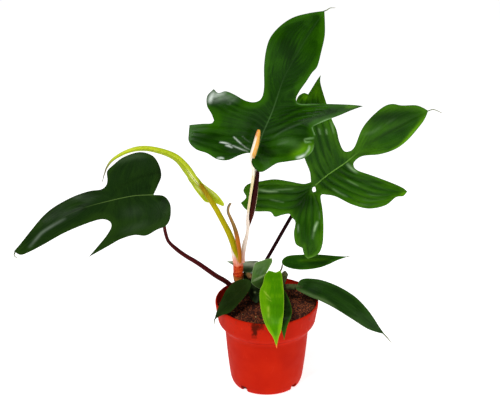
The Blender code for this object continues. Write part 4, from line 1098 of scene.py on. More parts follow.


# Each leaf is drawn as the camera sees it, as points of (x, z): its outline in strokes from one
# sharp corner to the next, its midrib, and its bends with their depth. Brush strokes on the face
# lay on its sheen, a painted highlight, and its shade, painted shade; its bright and light streaks
# are partly its own tone and partly painted light, and its pale ones partly painted highlights.

# The top leaf: a long middle lobe that points up, and two lobes to either side.
TOP_LEAF = dict(
    outline=[
        [(59, 451), (60, 437), (60, 423), (57, 407), (53, 390), (47, 382), (41, 372), (35, 363),
         (31, 355), (31, 350), (35, 347), (48, 347), (65, 347), (91, 346)],
        [(104, 344.5), (91, 339.5), (79, 334), (68, 329.5), (56.5, 324.5)],
        [(49, 320.5), (50.5, 315), (52.5, 310), (51.2, 305), (51.5, 299.5), (49.8, 292.5), (44.5, 286.2),
         (37, 282), (20, 279), (10, 277), (0, 270.2), (-5, 267.2), (-9.2, 267), (-13.2, 269.6),
         (-16.3, 274), (-18.1, 278.7), (-16.8, 283.5)],
        [(-12.8, 286.8), (-21, 289.5), (-31, 287), (-44, 281), (-56, 282), (-67, 289), (-79.5, 294),
         (-87, 303), (-87, 313)],
        [(-86, 322.5), (-72, 324), (-62, 324.5)],
        [(-59, 328), (-62, 336), (-66.5, 345), (-66, 356)],
        [(-59, 364), (-54, 359.5), (-46, 361.5), (-37, 358), (-25, 351), (-15, 349), (-7.5, 353),
         (-4.5, 365), (-4.5, 390), (-2, 410), (3, 423.5), (13.5, 435.5), (26.5, 444), (42.5, 448.5)],
    ],
    rib=[(-12.5, 286.5), (-6.5, 310), (5, 339), (15.5, 372.5), (23.5, 390), (40, 420), (59, 451)],
    fold=-0.06,
    bends=[(-12.5, 286.5, 5), (0, 327, 10), (15.5, 372.5, 15), (38, 415, 20), (59, 451, 34), (2, 420, 12),
           (-12, 350, 8), (-59, 362, 24), (-45, 345, 4), (-86, 308, -4), (-45, 283, -14), (-55, 310, -2),
           (104, 344.5, -6), (60, 338, 4), (48, 300, -16), (20, 281, -12), (-8, 269, -9), (-16, 278, -6),
           (25, 310, 4)],
    lobes=[
        (6, 0.1, [(6, 342, 22, 386), (-2, 368, 24, 398), (0, 395, 31, 412), (10, 425, 40, 428),
            (40, 443, 54, 446)]),
        (6, 0.1, [(12, 362, 26, 395), (35, 372, 33, 404), (47, 390, 40, 415), (55, 412, 49, 430),
            (58, 435, 57, 445)]),
        (5, 0.7, [(5, 339, -4, 315), (22, 345, 12, 322), (45, 346, 35, 327.5), (70, 346, 60, 333),
            (100, 344.6, 92, 341.5)]),
        (4, 0.6, [(-5, 312, -12, 289), (8, 318, -2, 282), (25, 325, 16, 280.5), (40, 324, 34, 285),
            (49.5, 316, 47, 296)]),
        (4, 0.3, [(3, 335, -5, 314), (-9, 348, -15, 321), (-22, 350, -33, 329), (-40, 357, -50, 337),
            (-57, 360, -64, 348)]),
        (4, 0.5, [(-6, 311, -12, 288), (-20, 320, -20, 288), (-40, 325, -42, 284), (-60, 324.5, -62, 290),
            (-83, 321, -84, 300)]),
    ],
    curls=[(50, 300, 16, -5), (-58, 360, 12, 6)],
    sheen=[
        (2.6, 0.9, [(-63.5, 349), (-62, 354), (-59, 360)]),
        (3, 0.6, [(-61, 354.5), (-54.6, 357.5), (-47, 359)]),
        (3.4, 0.2, [(-60, 350), (-50, 354), (-40, 355)]),
        (3.6, 0.06, [(-56, 348.5), (-46, 352), (-33, 352)]),
        (0.8, 1, [(-53.4, 302.3), (-46.7, 301.3), (-40.8, 299.2)]),
        (0.8, 0.8, [(-47.2, 298.7), (-42.5, 297.4), (-38.8, 295.6)]),
        (0.7, 0.6, [(-41, 299.2), (-32.4, 295.3), (-21.4, 290.9)]),
        (0.7, 0.9, [(-38.2, 308.9), (-33.2, 304.1), (-28.7, 299.9)]),
        (0.6, 0.45, [(-29.5, 300.6), (-24, 295.6), (-19.2, 293.2)]),
        (0.5, 0.2, [(-28.2, 309.4), (-24, 305.3), (-18.9, 301.7)]),
        (0.9, 1, [(-56.6, 283), (-52.4, 283.6), (-48.2, 282.8)]),
        (1.5, 0.95, [(32, 283.4), (37.5, 285.2), (42, 288)]),
        (1.1, 0.5, [(41, 287), (45.3, 293.2), (46.5, 298)]),
        (1, 0.04, [(5.1, 307.4), (19, 316.9), (41.7, 326.4)]),
        (1.5, 0.04, [(10.2, 299.2), (23, 303.3)]),
    ],
    pale=[
        (1, 1, [(73.3, 331.1), (64.5, 328.4), (57, 324.3), (49.1, 320.3)]),
        (1, 1, [(49.1, 320.3), (50.6, 315.5), (52.2, 310.4)]),
        (1, 0.9, [(51, 307.4), (45.3, 306.4), (40.2, 305.7)]),
        (1, 0.9, [(40.2, 305.7), (42.1, 302.6), (48.5, 302.6)]),
        (0.9, 0.7, [(50.5, 299.2), (49.4, 291.6), (44.4, 286.1)]),
        (0.9, 0.5, [(34.3, 354.5), (31.5, 349.8), (34.4, 347.2), (42.6, 346.8), (56.5, 347.8)]),
        (5, 0.12, [(14, 303), (26, 302), (36, 296)]),
    ],
    bright=[
        (4, 0.9, [(47.3, 299.2), (45.5, 292.3), (41.1, 288.2)]),
        (5, 0.8, [(42.2, 299.2), (37.2, 290.9), (28.3, 286.8)]), (2, 0.4, [(84.4, 343.2), (97, 344.1)]),
    ],
    light=[
        (5, 0.6, [(-58.3, 341.5), (-52.6, 331.1), (-54.6, 323.9)]),
        (3.5, 0.6, [(-80.2, 319.7), (-71.4, 316.5), (-58.6, 318.6)]),
        (3, 0.6, [(-73.7, 292.2), (-61.9, 288), (-52, 285.9)]),
        (1.5, 0.4, [(11.3, 325.7), (33.9, 338.5), (66.7, 342.5)]),
        (1.5, 0.4, [(7.5, 315.5), (29, 328.4), (64.3, 337.1)]),
        (4, 0.5, [(-13, 281), (-5, 277), (6, 279)]), (7, 0.8, [(10, 300), (22, 301), (38, 299)]),
        (5, 0.55, [(1.1, 399.9), (4.6, 415.8), (15.2, 433.5)]),
        (4, 0.55, [(19.7, 436.2), (30.3, 443.6), (48.1, 446.3)]),
        (2.5, 0.6, [(57.1, 440.8), (57.4, 427)]),
        (4, 0.45, [(52.6, 399.9), (47.4, 388.6), (36.8, 373.4)]),
    ],
    shade=[
        (5, 0.45, [(-35.8, 353.9), (-28, 349.8)]),
        (4, 0.6, [(-78.4, 308.1), (-61.6, 308.1), (-48.8, 310.2)]),
        (3, 0.6, [(-51.9, 293.3), (-36.1, 292.2), (-28.2, 290.1)]),
        (1.6, 0.7, [(11.2, 330.4), (33.9, 341.8), (61.6, 344.5)]),
        (1.6, 0.7, [(7.5, 321), (30.2, 333.1), (66.8, 339.8)]),
        (1.6, 0.6, [(5, 311.5), (24, 323), (51.8, 332.4)]), (1, 0.6, [(44, 304.6), (46.6, 304.6)]),
        (5, 0.85, [(-8, 296), (-2, 292), (8, 288)]),
        (0.9, 0.95, [(-13.2, 286), (-16.4, 283), (-17.5, 278.7),
                    (-15.8, 274), (-13, 270.7), (-9, 268.3)]),
        (8, 0.4, [(23.6, 413), (26.5, 392.4)]),
    ],
)
blade("blade_top", TOP_LEAF, "green_leaf", leaf_finish(
    "leaf_top", (16, 50, 0), (38, 84, 0), (84, 122, 54), (132, 172, 112), line=(0.6, 0.14, 0.02),
    fade=(0.2, 0.6), vein=0.0, rim=0.5, edge=(24, 44, 8), shine=(222, 234, 222)), LARGE_STEP)

# The right leaf: its middle lobe points right, others up, left and down. One hole is torn in it.
RIGHT_LEAF = dict(
    outline=[
        [(175, 339), (172, 330), (167, 321.5), (154, 304.5), (141, 294), (124.5, 288), (106, 286),
         (98, 281), (95.5, 275.5), (100, 269), (117, 262.5), (136, 255), (151, 248)],
        [(157, 243), (152.5, 237.5), (144.5, 236), (133, 226), (114.5, 222), (95.5, 227), (77.5, 236.5),
         (67, 239), (60, 238), (62, 223), (63.5, 208.5), (64, 194), (63.5, 179), (60, 167), (53, 161.5)],
        [(46.5, 159.2), (43, 163), (41.4, 168)],
        [(40.3, 172.8), (35.5, 175.2), (32, 179.5), (30.3, 191.5), (31.8, 205)],
        [(28, 211), (24.5, 215.5), (16, 214), (8.5, 212), (3, 218), (-12, 218.5), (-23.5, 220.5)],
        [(-30, 229), (-24, 236), (-27, 244.5), (-22, 252), (-8.5, 255.5), (8, 258), (24.5, 255.5),
         (40, 252.5)],
        [(48.5, 254.5), (47, 267), (41, 283), (37, 300), (33, 320), (30, 340), (32, 354), (38.5, 359.5)],
        [(43.5, 358), (49, 367.5), (53, 374.5)],
        [(56.7, 380), (56.7, 371), (61.5, 354.5), (70, 329.5), (75.5, 317), (79, 303), (84, 292.5),
         (90, 291.5), (96, 297), (103, 317), (112, 330.5), (125, 343), (135, 347), (146, 345.3),
         (161, 345.5), (169.5, 342.5)],
    ],
    holes=[[(50.7, 248.2), (53.3, 248.6), (54.2, 243.6), (51.3, 242.5), (50.1, 245.1)]],
    rib=[(54, 251), (67.5, 263.5), (86.5, 278), (107, 296), (135, 315), (160, 331), (175, 339)],
    fold=-0.1,
    bends=[(54, 251, 46), (86.5, 278, 48), (130, 315, 50), (175, 339, 64), (120, 335, 44), (130, 290, 50),
           (56.5, 378, 66), (55, 330, 50), (35, 345, 58), (60, 290, 48), (-30, 230, 30), (5, 238, 32),
           (10, 214, 26), (8, 258, 36), (46.5, 160, 20), (47, 205, 29), (64, 195, 26), (157, 243, 38),
           (110, 245, 44), (114.5, 222, 32), (110, 264, 42)],
    lobes=[
        (5, 0.5, [(90, 281, 118, 304), (99, 302, 126, 316), (112, 326, 138, 327), (132, 342, 152, 336),
            (160, 342.5, 168, 338)]),
        (5, 0.5, [(94, 284, 120, 305), (112, 289, 130, 308), (135, 294, 146, 317), (155, 308, 160, 326),
            (168, 325, 171, 333)]),
        (5, 1.4, [(58, 255, 84, 276), (47, 268, 84, 290), (42, 285, 78, 302), (37, 305, 73.5, 318),
            (32, 330, 68, 333), (34, 350, 61, 354), (49, 365, 57, 371)]),
        (5, 1.3, [(86, 277, 56, 252), (94, 271, 66, 244), (110, 264, 84, 235.5), (130, 256, 108, 225),
            (148, 248.5, 136, 229.5), (155, 244, 152, 239)]),
        (4, 1.2, [(48, 252, 44, 238), (34, 253, 33, 222), (18, 256, 19, 216), (2, 256, 4, 219),
            (-12, 253, -12, 221), (-22, 248, -24, 225)]),
        (4, 1.2, [(42, 236, 54, 241), (33, 212, 62, 225), (31, 195, 63.5, 205), (31, 182, 63, 190),
            (38, 172, 60, 175), (45, 163, 52, 165)]),
    ],
    sheen=[
        (1, 0.3, [(55.9, 319.1), (58, 311)]), (0.8, 0.45, [(63.9, 318.4), (65, 311)]),
        (1, 0.25, [(69.1, 326.6), (72.6, 312.3)]),
        (2, 0.07, [(104.6, 311.5), (114.6, 314.2), (124.6, 321)]),
        (1.6, 0.5, [(88.2, 277), (93.8, 270.6), (100, 266)]),
        (1, 0.25, [(72.4, 247.1), (81.3, 241), (90.1, 236.3)]),
        (0.9, 0.2, [(88.2, 257.2), (102.1, 249.8)]),
        (1.5, 0.5, [(-9.5, 245.4), (0.7, 243.2), (12, 243.5)]), (1, 0.3, [(4.9, 244.9), (29.7, 246.2)]),
        (0.8, 0.3, [(2, 233.5), (10, 231.5), (19, 229.5)]),
        (1.3, 0.75, [(56.9, 206), (54.8, 200), (53, 193)]), (1.5, 0.2, [(53.5, 197), (51.6, 184)]),
        (1, 0.35, [(35, 203), (35.4, 192)]), (0.8, 0.18, [(58.6, 219), (59.4, 208.6)]),
        (1.5, 0.04, [(129.5, 323.7), (139.4, 330.5)]),
    ],
    pale=[(1, 0.7, [(43.1, 162.8), (46.6, 159.7), (52.6, 161.4), (58.6, 164.8)])],
    bright=[
        (2.6, 0.8, [(38.8, 354), (41.9, 354.7)]), (3, 0.4, [(52.4, 365.9), (53.3, 354)]),
        (1.8, 0.75, [(136, 292.4), (147.2, 299.2), (160.4, 315.6), (173.5, 333.2)]),
        (2.2, 0.6, [(149.6, 239), (155.7, 241)]),
    ],
    light=[
        (3, 0.5, [(47.1, 278), (51.8, 271)]),
        (3.5, 0.35, [(116.7, 295.1), (135.6, 300.6), (148.1, 306.1)]),
        (1.2, 0.7, [(66.1, 252), (86.1, 236.5), (106, 230.5)]),
        (1.2, 0.7, [(72.4, 259), (94.7, 243.7), (116.8, 236.5)]),
        (1.2, 0.7, [(78.7, 266.1), (98.8, 252), (120.9, 242.5)]),
        (3.5, 0.5, [(103.9, 231.6), (122.7, 230.2), (134.9, 235.6)]),
        (3, 0.6, [(-8, 236), (6, 237.5), (18, 239)]), (3, 0.6, [(55.6, 188.8), (57.2, 172.8)]),
        (2.5, 0.5, [(34.1, 188.8), (35.4, 179.5)]), (3, 0.5, [(8.7, 215.1), (18.2, 217.7)]),
    ],
    shade=[
        (1.6, 0.7, [(33.8, 352.7), (36.8, 356.6)]),
        (1.6, 0.6, [(73.6, 322.5), (78.6, 302.1), (83.4, 291.8)]),
        (2.4, 0.85, [(108.8, 299.2), (127.5, 310.8), (149.8, 323.7), (173.2, 337.2)]),
        (4.5, 0.65, [(140.1, 314.2), (152.6, 319.7)]),
        (7.5, 0.9, [(106, 323), (120, 331), (140, 333), (162, 336)]),
        (2, 0.6, [(97.7, 286.9), (113, 289.6)]),
        (1.6, 0.6, [(81.8, 266.5), (94.3, 261.2), (111.8, 255.2), (134.1, 253.8), (153, 245.8)]),
        (1.4, 0.7, [(-8.1, 240), (10.8, 240.8), (27.4, 241.7)]),
        (9, 1, [(39, 240), (39.4, 229.4), (32, 220)]), (3, 0.7, [(46.2, 246.2), (45.2, 238.5)]),
        (1.4, 0.6, [(49.1, 215.1), (46.5, 196.7), (46.4, 170.2)]),
        (1.4, 0.6, [(40.9, 207.3), (39.4, 191.5), (40.3, 176.8)]),
    ],
)
blade("blade_right", RIGHT_LEAF, "green_leaf", leaf_finish(
    "leaf_right", (28, 70, 4), (56, 104, 6), (84, 122, 54), (118, 166, 66), line=(0.65, 0.8, 0.0),
    fade=(0.25, 0.45), rim=0.35, edge=(30, 56, 12), shine=(172, 206, 152)), LARGE_STEP)

# The left leaf, the darkest: its long middle lobe hangs to the left.
LEFT_LEAF = dict(
    outline=[
        [(-290, 168.5), (-280, 180.5), (-269, 194.5), (-253.5, 213), (-238.5, 225.5), (-218, 237),
         (-200, 243.5), (-187, 245.5), (-181, 250), (-179, 257), (-179, 267), (-173, 274), (-160, 284.5),
         (-142, 290.5), (-128, 286.5), (-121, 276), (-118.5, 262.5), (-123, 250)],
        [(-128, 239), (-116.5, 237.5), (-110, 229), (-109, 217.5), (-111, 207), (-116, 200), (-125, 196),
         (-138, 188.5), (-151.5, 189), (-167, 184), (-182, 175)],
        [(-204.5, 161.5), (-193.5, 175), (-183, 188.5), (-177, 200), (-180, 207), (-190, 208.5),
         (-210, 201.5), (-232.5, 191), (-255, 177.5), (-271, 168.5), (-282.5, 164)],
    ],
    rib=[(-128, 239), (-151, 237.5), (-179.5, 231), (-209, 222), (-239, 206.5), (-262, 188.5),
         (-288, 166.5)],
    fold=-0.12,
    bends=[(-128, 239, -6), (-165, 235, 2), (-209, 222, 6), (-250, 198, -6), (-290, 167, -36),
           (-142, 290.5, 50), (-118.5, 262.5, 20), (-173, 272, 42), (-150, 262, 26), (-109, 217.5, -26),
           (-145, 189, -48), (-204.5, 161.5, -66), (-150, 212, -26), (-210, 201.5, -12), (-220, 236, 14),
           (-182, 206, -22)],
    lobes=[
        (4, 0.1, [(-175, 233, -205, 223), (-200, 241, -222, 219), (-225, 232, -240, 209),
            (-250, 214, -258, 194), (-275, 185, -280, 175)]),
        (4, 0.1, [(-178, 230, -208, 221), (-195, 210, -218, 214), (-215, 202, -235, 203),
            (-240, 186, -255, 188), (-270, 170, -278, 172)]),
        (4, 0.1, [(-130, 240, -170, 235), (-125, 255, -177, 255), (-122, 270, -172, 270),
            (-130, 283, -160, 281)]),
        (4, 0.2, [(-130, 238, -175, 231), (-114, 220, -178, 215), (-122, 200, -176, 200),
            (-150, 191, -182, 190), (-185, 175, -193, 174)]),
    ],
    sheen=[
        (1.6, 0.22, [(-228.2, 210), (-243.4, 200.9), (-256.5, 191.6), (-265.6, 181.2), (-272.5, 173)]),
        (1.1, 0.06, [(-230.4, 208.9), (-249.9, 197.4), (-263.3, 184.7)]),
        (3.8, 0.04, [(-169, 278.6), (-150.3, 285.2), (-136, 285.2)]),
        (6.8, 0.02, [(-161.2, 215.8), (-142.3, 220.3)]),
        (5.2, 0.02, [(-134.5, 204.3), (-164.2, 192.8)]),
    ],
    light=[
        (2.5, 0.5, [(-195.8, 234), (-212.6, 228.3), (-227.6, 221.5)]),
        (3.5, 0.5, [(-120, 202), (-111.4, 211.2)]), (3, 0.3, [(-277.1, 167.2), (-257.1, 183.5)]),
        (6, 0.5, [(-148, 207), (-165, 200), (-184, 183)]),
    ],
    shade=[
        (5, 0.6, [(-185, 243), (-212, 240.7), (-237.6, 227.2), (-259.9, 204.3)]),
        (3.5, 0.7, [(-123.9, 280.8), (-119.3, 263.1), (-123.9, 245.2)]),
        (3, 0.7, [(-123.2, 236.2), (-113, 229.4)]),
    ],
)
blade("blade_left", LEFT_LEAF, "dark_leaf", leaf_finish(
    "leaf_left", (21, 44, 11), (32, 58, 13), (62, 92, 44), (110, 140, 70), line=(0.4, 0.6, 0.05),
    fade=(0.2, 0.5), rim=0.3, edge=(44, 40, 16)), LARGE_STEP)

# A small leaf that hangs over the pot's rim at the left.
RIM_LEAF = dict(
    outline=[
        [(-19.5, 131), (-25.5, 133), (-36, 130), (-47, 118.5), (-54, 102.5), (-58.5, 90.5)],
        [(-61.5, 79), (-55, 84), (-42.5, 90), (-31.5, 102.5), (-22, 116), (-18.5, 125)],
    ],
    rib=[(-19.5, 131), (-32, 116), (-48, 98), (-61.5, 79)],
    fold=-0.15,
    bends=[(-19.5, 131, 7.5), (-42.5, 125.5, 4), (-54.5, 102.5, -22), (-61.5, 79, -44), (-42.5, 90, -35),
           (-26.5, 109, -16)],
    crease=0.2,
)
blade("blade_rim", RIM_LEAF, "dark_leaf", leaf_finish(
    "leaf_rim", (24, 40, 10), (32, 54, 14), (62, 92, 44), (84, 110, 50), line=(0.4, 0.05, 0.0),
    rim=0.1))

# The bright small leaf that hangs down the front of the pot.
BRIGHT_LEAF = dict(
    outline=[
        [(15, 144), (17, 140), (18, 132.5), (19, 123), (19.8, 112), (20, 96), (19.4, 84.2), (17.2, 66.2),
         (14.2, 55.5)],
        [(11.8, 42), (7.8, 55), (1.5, 66.2), (-3.4, 78.2), (-6.8, 93), (-8.5, 109), (-7.8, 119),
         (-4.5, 127.5), (-2.6, 137.1)],
        [(1.8, 144), (5.6, 143), (10.3, 141.6)],
    ],
    rib=[(10.3, 141), (6.6, 130), (6, 112), (6.4, 90), (8, 70), (11.8, 42)],
    fold=-0.2,
    bends=[(12, 143.5, 11), (8, 128, -8), (19, 128, -7), (-8.5, 112, -28), (7, 100, -42),
           (19.5, 95.5, -45), (8, 77, -65.5), (-3.5, 77, -64.5), (17, 76, -65.5), (11, 58, -72),
           (11.8, 42, -74.5)],
    crease=0.2,
    pale=[
        (0.7, 0.7, [(-4.1, 118.4), (-1, 113.6), (4.8, 106.7)]),
        (0.6, 0.6, [(-1.5, 109.1), (2, 106), (5.9, 103.2)]), (1.4, 0.6, [(1.6, 97), (2, 89)]),
        (1.2, 0.5, [(2.1, 88), (2.3, 82)]),
    ],
    light=[(4.5, 0.75, [(-2, 132), (-3, 112), (-1, 92), (4, 72)])],
    shade=[
        (4.5, 0.14, [(13, 138), (13.5, 112), (13.5, 90), (13, 72)]),
        (0.8, 0.5, [(-3.4, 115.6), (0, 110.5), (2.7, 107.9)]),
    ],
)
blade("blade_bright", BRIGHT_LEAF, "bright_leaf", leaf_finish(
    "leaf_bright", (70, 136, 0), (112, 170, 8), (110, 160, 60), (176, 206, 70), line=(0.5, 0.0, 0.0),
    band=4.0, rim=0.6, dusk=0.5, shine=(226, 220, 170)), step=0.0008)

# The small leaf beside it, in its shade.
SHADED_LEAF = dict(
    outline=[
        [(16.5, 125), (20.5, 118), (26, 106), (29.2, 93), (28.3, 82.5), (24.8, 72.5), (22.6, 62)],
        [(20.8, 52), (18, 64), (13.5, 80), (11.5, 98), (13, 115)],
    ],
    rib=[(16.5, 125), (19.5, 100), (20.5, 75), (20.8, 52)],
    fold=-0.15,
    bends=[(16.5, 125, 7), (19, 112, -12), (18.5, 98, -34), (25.5, 87, -52), (12.5, 87, -50),
           (23.5, 76, -61), (15, 76, -61), (20, 65, -65.5), (20, 51.5, -68)],
    crease=0.2,
    light=[(4, 0.9, [(23, 73), (21.5, 58)])],
    shade=[(4, 0.4, [(22, 105), (25, 90)])],
)
blade("blade_shaded", SHADED_LEAF, "dark_leaf", leaf_finish(
    "leaf_shaded", (16, 38, 6), (40, 82, 12), (56, 86, 40), (110, 140, 40), line=(0.4, 0.1, 0.0),
    rim=0.3, band=3.0))

# A small leaf between the two stems, turned up.
UPTURNED_LEAF = dict(
    outline=[
        [(2, 121), (-4, 119), (-10, 121), (-15, 124.5)],
        [(-18.4, 128.5), (-17.4, 135.5), (-16, 146), (-13, 153.5), (-5, 157), (1, 159)],
        [(5.5, 160), (6, 155), (2, 146), (-1, 139), (3, 133), (5, 126)],
    ],
    rib=[(-18, 129), (-9, 133), (-2, 140), (2, 147), (5.5, 160)],
    fold=0.2,
    bends=[(2, 121, 10), (-18, 129, 6), (-12, 152, 14), (5.5, 160, 16), (-6, 134, 4)],
    crease=0.2,
    pale=[(0.9, 0.9, [(-16, 130.5), (-9, 134.7), (-1.5, 138.8)])],
    shade=[(3, 0.35, [(-14, 127), (-6, 124), (1, 127)])],
)
blade("blade_upturned", UPTURNED_LEAF, "green_leaf", leaf_finish(
    "leaf_upturned", (64, 100, 38), (80, 116, 50), (24, 66, 10), (160, 182, 130),
    line=(0.4, 0.3, 0.2), rim=0.7))

# A pale leaf half hidden behind the stems.
HIDDEN_LEAF = dict(
    outline=[
        [(-8.5, 152), (-10.5, 155.8), (-18, 156.2), (-27, 155.6), (-36, 156.2)],
        [(-46.5, 155.8), (-39.5, 151), (-31, 144), (-24, 141.5), (-16, 141.2), (-10.5, 145)],
    ],
    rib=[(-8.5, 152), (-27, 149.5), (-46.5, 155.8)],
    fold=-0.2,
    bends=[(-9.5, 150.5, 40), (-28, 144, 35), (-26, 156, 52), (-46, 156, 52)],
    crease=0.1,
    pale=[
        (3.6, 1, [(-6, 152.8), (-18, 152.6), (-31, 152.8)]), (1.8, 0.7, [(-38, 154.5), (-46, 155.6)]),
    ],
    shade=[(2.4, 0.7, [(-11, 145.5), (-20, 144), (-28, 145)])],
)
blade("blade_hidden", HIDDEN_LEAF, "dark_leaf", leaf_finish(
    "leaf_hidden", (48, 78, 36), (74, 104, 54), (120, 138, 96), (206, 216, 184), band=3.0))

# A small leaf held level to the right.
LEVEL_LEAF = dict(
    outline=[
        [(92.5, 161.7), (80.5, 157), (72.4, 152.6), (63.3, 148.6), (53, 146.1), (40.6, 145),
         (30.3, 146.1), (23.1, 148.4), (18.4, 151.5), (16.8, 154.9), (18.3, 158.6), (21.9, 161.8),
         (28, 163.5), (40.3, 164.3), (58.5, 164.5), (78, 162.8)],
    ],
    rib=[(17.2, 154.5), (42, 155.2), (68, 158), (92.5, 161.7)],
    fold=-0.3,
    bends=[(17, 153, 34), (50, 145.5, 32), (50, 164.5, 58), (50, 156, 46), (92.5, 161.7, 50)],
    crease=0.2,
    bright=[(2.2, 0.5, [(36, 156), (52, 157.5), (72, 159)])],
    shade=[
        (1.6, 0.5, [(24, 150), (44, 148), (66, 152)]), (1.4, 0.5, [(24, 160.5), (44, 162.5), (70, 162)]),
    ],
)
blade("blade_level", LEVEL_LEAF, "green_leaf", leaf_finish(
    "leaf_level", (30, 76, 8), (54, 106, 12), (76, 112, 50), (96, 146, 56), band=5.0))

# The long narrow leaf that hangs past the rim at the right.
LONG_LEAF = dict(
    outline=[
        [(35, 124), (37.2, 130), (40.5, 132.6), (48, 133.7), (63.5, 131.5), (83, 123.3), (102, 110.5),
         (115.5, 96), (125, 82.5), (132.5, 70)],
        [(139, 60), (130, 62.5), (118, 67.5), (102.5, 78.5), (84, 91.5), (73.8, 98), (61.1, 105),
         (51.7, 109.1), (41.1, 114.9), (34.5, 119.2)],
    ],
    rib=[(35, 124), (48.5, 118.5), (69, 105), (88.5, 91.5), (108.5, 78), (125.5, 68), (139, 60)],
    fold=-0.15,
    bends=[(36, 126, 6), (50, 133.5, 18), (75, 126.5, 16), (102, 110.5, 10), (125, 82.5, -4),
           (139, 60, -14), (118, 67.5, -16), (94, 84, -13), (59.8, 106.5, -6), (69, 106, -2),
           (42, 117, 2)],
    crease=0.2,
    pale=[(2, 0.4, [(35, 120), (43, 116), (54, 110.5), (66, 105), (80, 96)])],
    light=[(4, 0.5, [(45, 127), (60, 121), (80, 110), (104, 92)])],
    shade=[(2, 0.5, [(42, 130), (60, 127), (84, 118)])],
)
blade("blade_long", LONG_LEAF, "dark_leaf", leaf_finish(
    "leaf_long", (20, 48, 8), (36, 70, 16), (62, 92, 44), (124, 150, 96)))

# A small scrap of leaf beside the main stem, its dark colour partly painted shade.
SCRAP_LEAF = dict(
    outline=[
        [(-8.5, 119), (-7.5, 112), (-10, 104), (-12.5, 101.5), (-17, 105), (-20.5, 110), (-22.5, 119),
         (-26.2, 128), (-28.2, 137)],
        [(-27, 142.5), (-20, 142), (-16, 136), (-13.5, 127)],
    ],
    rib=[(-27, 142.5), (-20, 128), (-15, 116), (-11.2, 103.5)],
    fold=-0.1,
    bends=[(-21, 115, 15), (-8.5, 115, 12), (-15, 130, 29), (-27, 142.5, 33), (-18, 140, 33),
           (-15, 104, 2), (-15, 115, 12)],
    crease=0.1,
    pale=[(1.1, 1, [(-15.2, 115.5), (-12.8, 115.5)])],
    light=[(2, 0.6, [(-17, 126), (-12, 120)])],
)
blade("blade_scrap", SCRAP_LEAF, "dark_leaf", leaf_finish(
    "leaf_scrap", (16, 30, 10), (34, 50, 22), (56, 86, 40), (150, 168, 110), rim=0.0, band=3.0),
    solid=False)

# The youngest leaf is still rolled into a yellow-green spike that arches over to a fine dry
# point. Its foot has begun to open as two flaps behind the top of its stalk.

ROLLED_BLADE = [
    (-184.6, 255, -18, 0.4, 80, 460), (-183.2, 260.5, -17.5, 0.6, 80, 460),
    (-181.5, 265.5, -17, 0.8, 80, 460), (-179.3, 271.5, -16, 1.1, 80, 460),
    (-174.3, 279, -15, 1.6, 80, 460), (-167.5, 284.7, -14, 2, 80, 460), (-158, 290.1, -12, 2.4, 80, 460),
    (-148, 293.6, -10, 2.8, 80, 460), (-139.4, 294.8, -8, 3.2, 80, 460), (-131, 294.4, -6, 3.4, 80, 460),
    (-121, 292.2, -4, 3.7, 80, 460), (-111, 288.8, -2, 4, 80, 460), (-102.5, 284.2, 0, 4.4, 84, 456),
    (-96.5, 278.5, 1, 4.8, 88, 452), (-90.2, 269.9, 1, 5.5, 92, 448), (-83.8, 260, 1, 5.2, 93, 447),
    (-79, 253.5, 1, 3.6, 95, 445), (-76.2, 249.5, 1, 1.6, 95, 445),
]
FLAP_SHEET = dict(
    outline=[
        [(-83.5, 267), (-77.6, 260), (-72.7, 253.5), (-67.7, 249.1), (-60.8, 243.7), (-55.8, 238.8),
         (-50.8, 232), (-48.7, 227.8)],
        [(-49.5, 224.6), (-53, 226.2), (-56.8, 228)],
        [(-59, 228.4), (-61.2, 228.6), (-63.9, 229.1), (-70, 230.4), (-74.9, 236), (-81.8, 245.9),
         (-85.2, 252), (-89.6, 260.5)],
    ],
    rib=[(-83.5, 267), (-76.5, 256), (-69, 245), (-61, 235.5)],
    fold=-0.18,
    bends=[(-83.5, 267, 2), (-88, 258, 3), (-75, 250, 4), (-64, 230, 10), (-50, 225, 10), (-76, 237, 4),
           (-60, 243, 6)],
    crease=0.4,
    pale=[
        (1.3, 0.8, [(-84, 258), (-80, 250), (-73, 240)]),
        (1.2, 0.7, [(-72, 251), (-63, 243), (-55, 234)]),
    ],
    shade=[
        (1.4, 0.8, [(-77.5, 252), (-75, 248.5)]), (1.5, 0.5, [(-70, 240), (-62, 233)]),
    ],
)

roll = Finish("new_leaf", Specular_IOR_Level=0.2)
across, along, inner = roll.attribute("across"), roll.attribute("along"), roll.attribute("inner")
streaks = roll.noise(500.0, 4.0, roll.moved(scale=(0.5, 1, 0.5)), 0.6)
fresh = roll.ramp(roll.noise(70.0, 4.0), 0.3, 0.7)
roll.colour = roll.mix(fresh, paint(186, 198, 28), paint(166, 182, 16))
# Painted shade down one side of the rolled blade.
roll.cover(roll.ramp(across, 0.45, 0.75, 0.0, 0.7), paint(140, 156, 6))
roll.cover(roll.ramp(streaks, 0.5, 0.75, 0.0, 0.4), paint(206, 214, 96))
roll.cover(roll.times(inner, 0.8), paint(176, 200, 30))
margin = roll.combine("MINIMUM", across, roll.combine("SUBTRACT", 1.0, across))
pale_margin = roll.times(roll.ramp(margin, 0.02, 0.05, 1.0, 0.0), roll.ramp(along, 0.8, 0.9))
roll.cover(pale_margin, paint(228, 234, 150))
flecks = roll.times(roll.ramp(roll.noise(330.0, 3.0), 0.62, 0.70), roll.ramp(along, 0.35, 0.5))
roll.cover(roll.times(flecks, 0.6), paint(112, 96, 20))
roll.cover(roll.ramp(along, 0.08, 0.24, 1.0, 0.0), paint(112, 108, 76))
young_skin = roll.dress(roll.ramp(streaks, 0.3, 0.7, 0.34, 0.48), streaks, 0.00015)
wrapped_sheet("blade_new_roll", ROLLED_BLADE, "new_leaf", young_skin, "blade_new", flatness=0.60,
              curl=0.22)
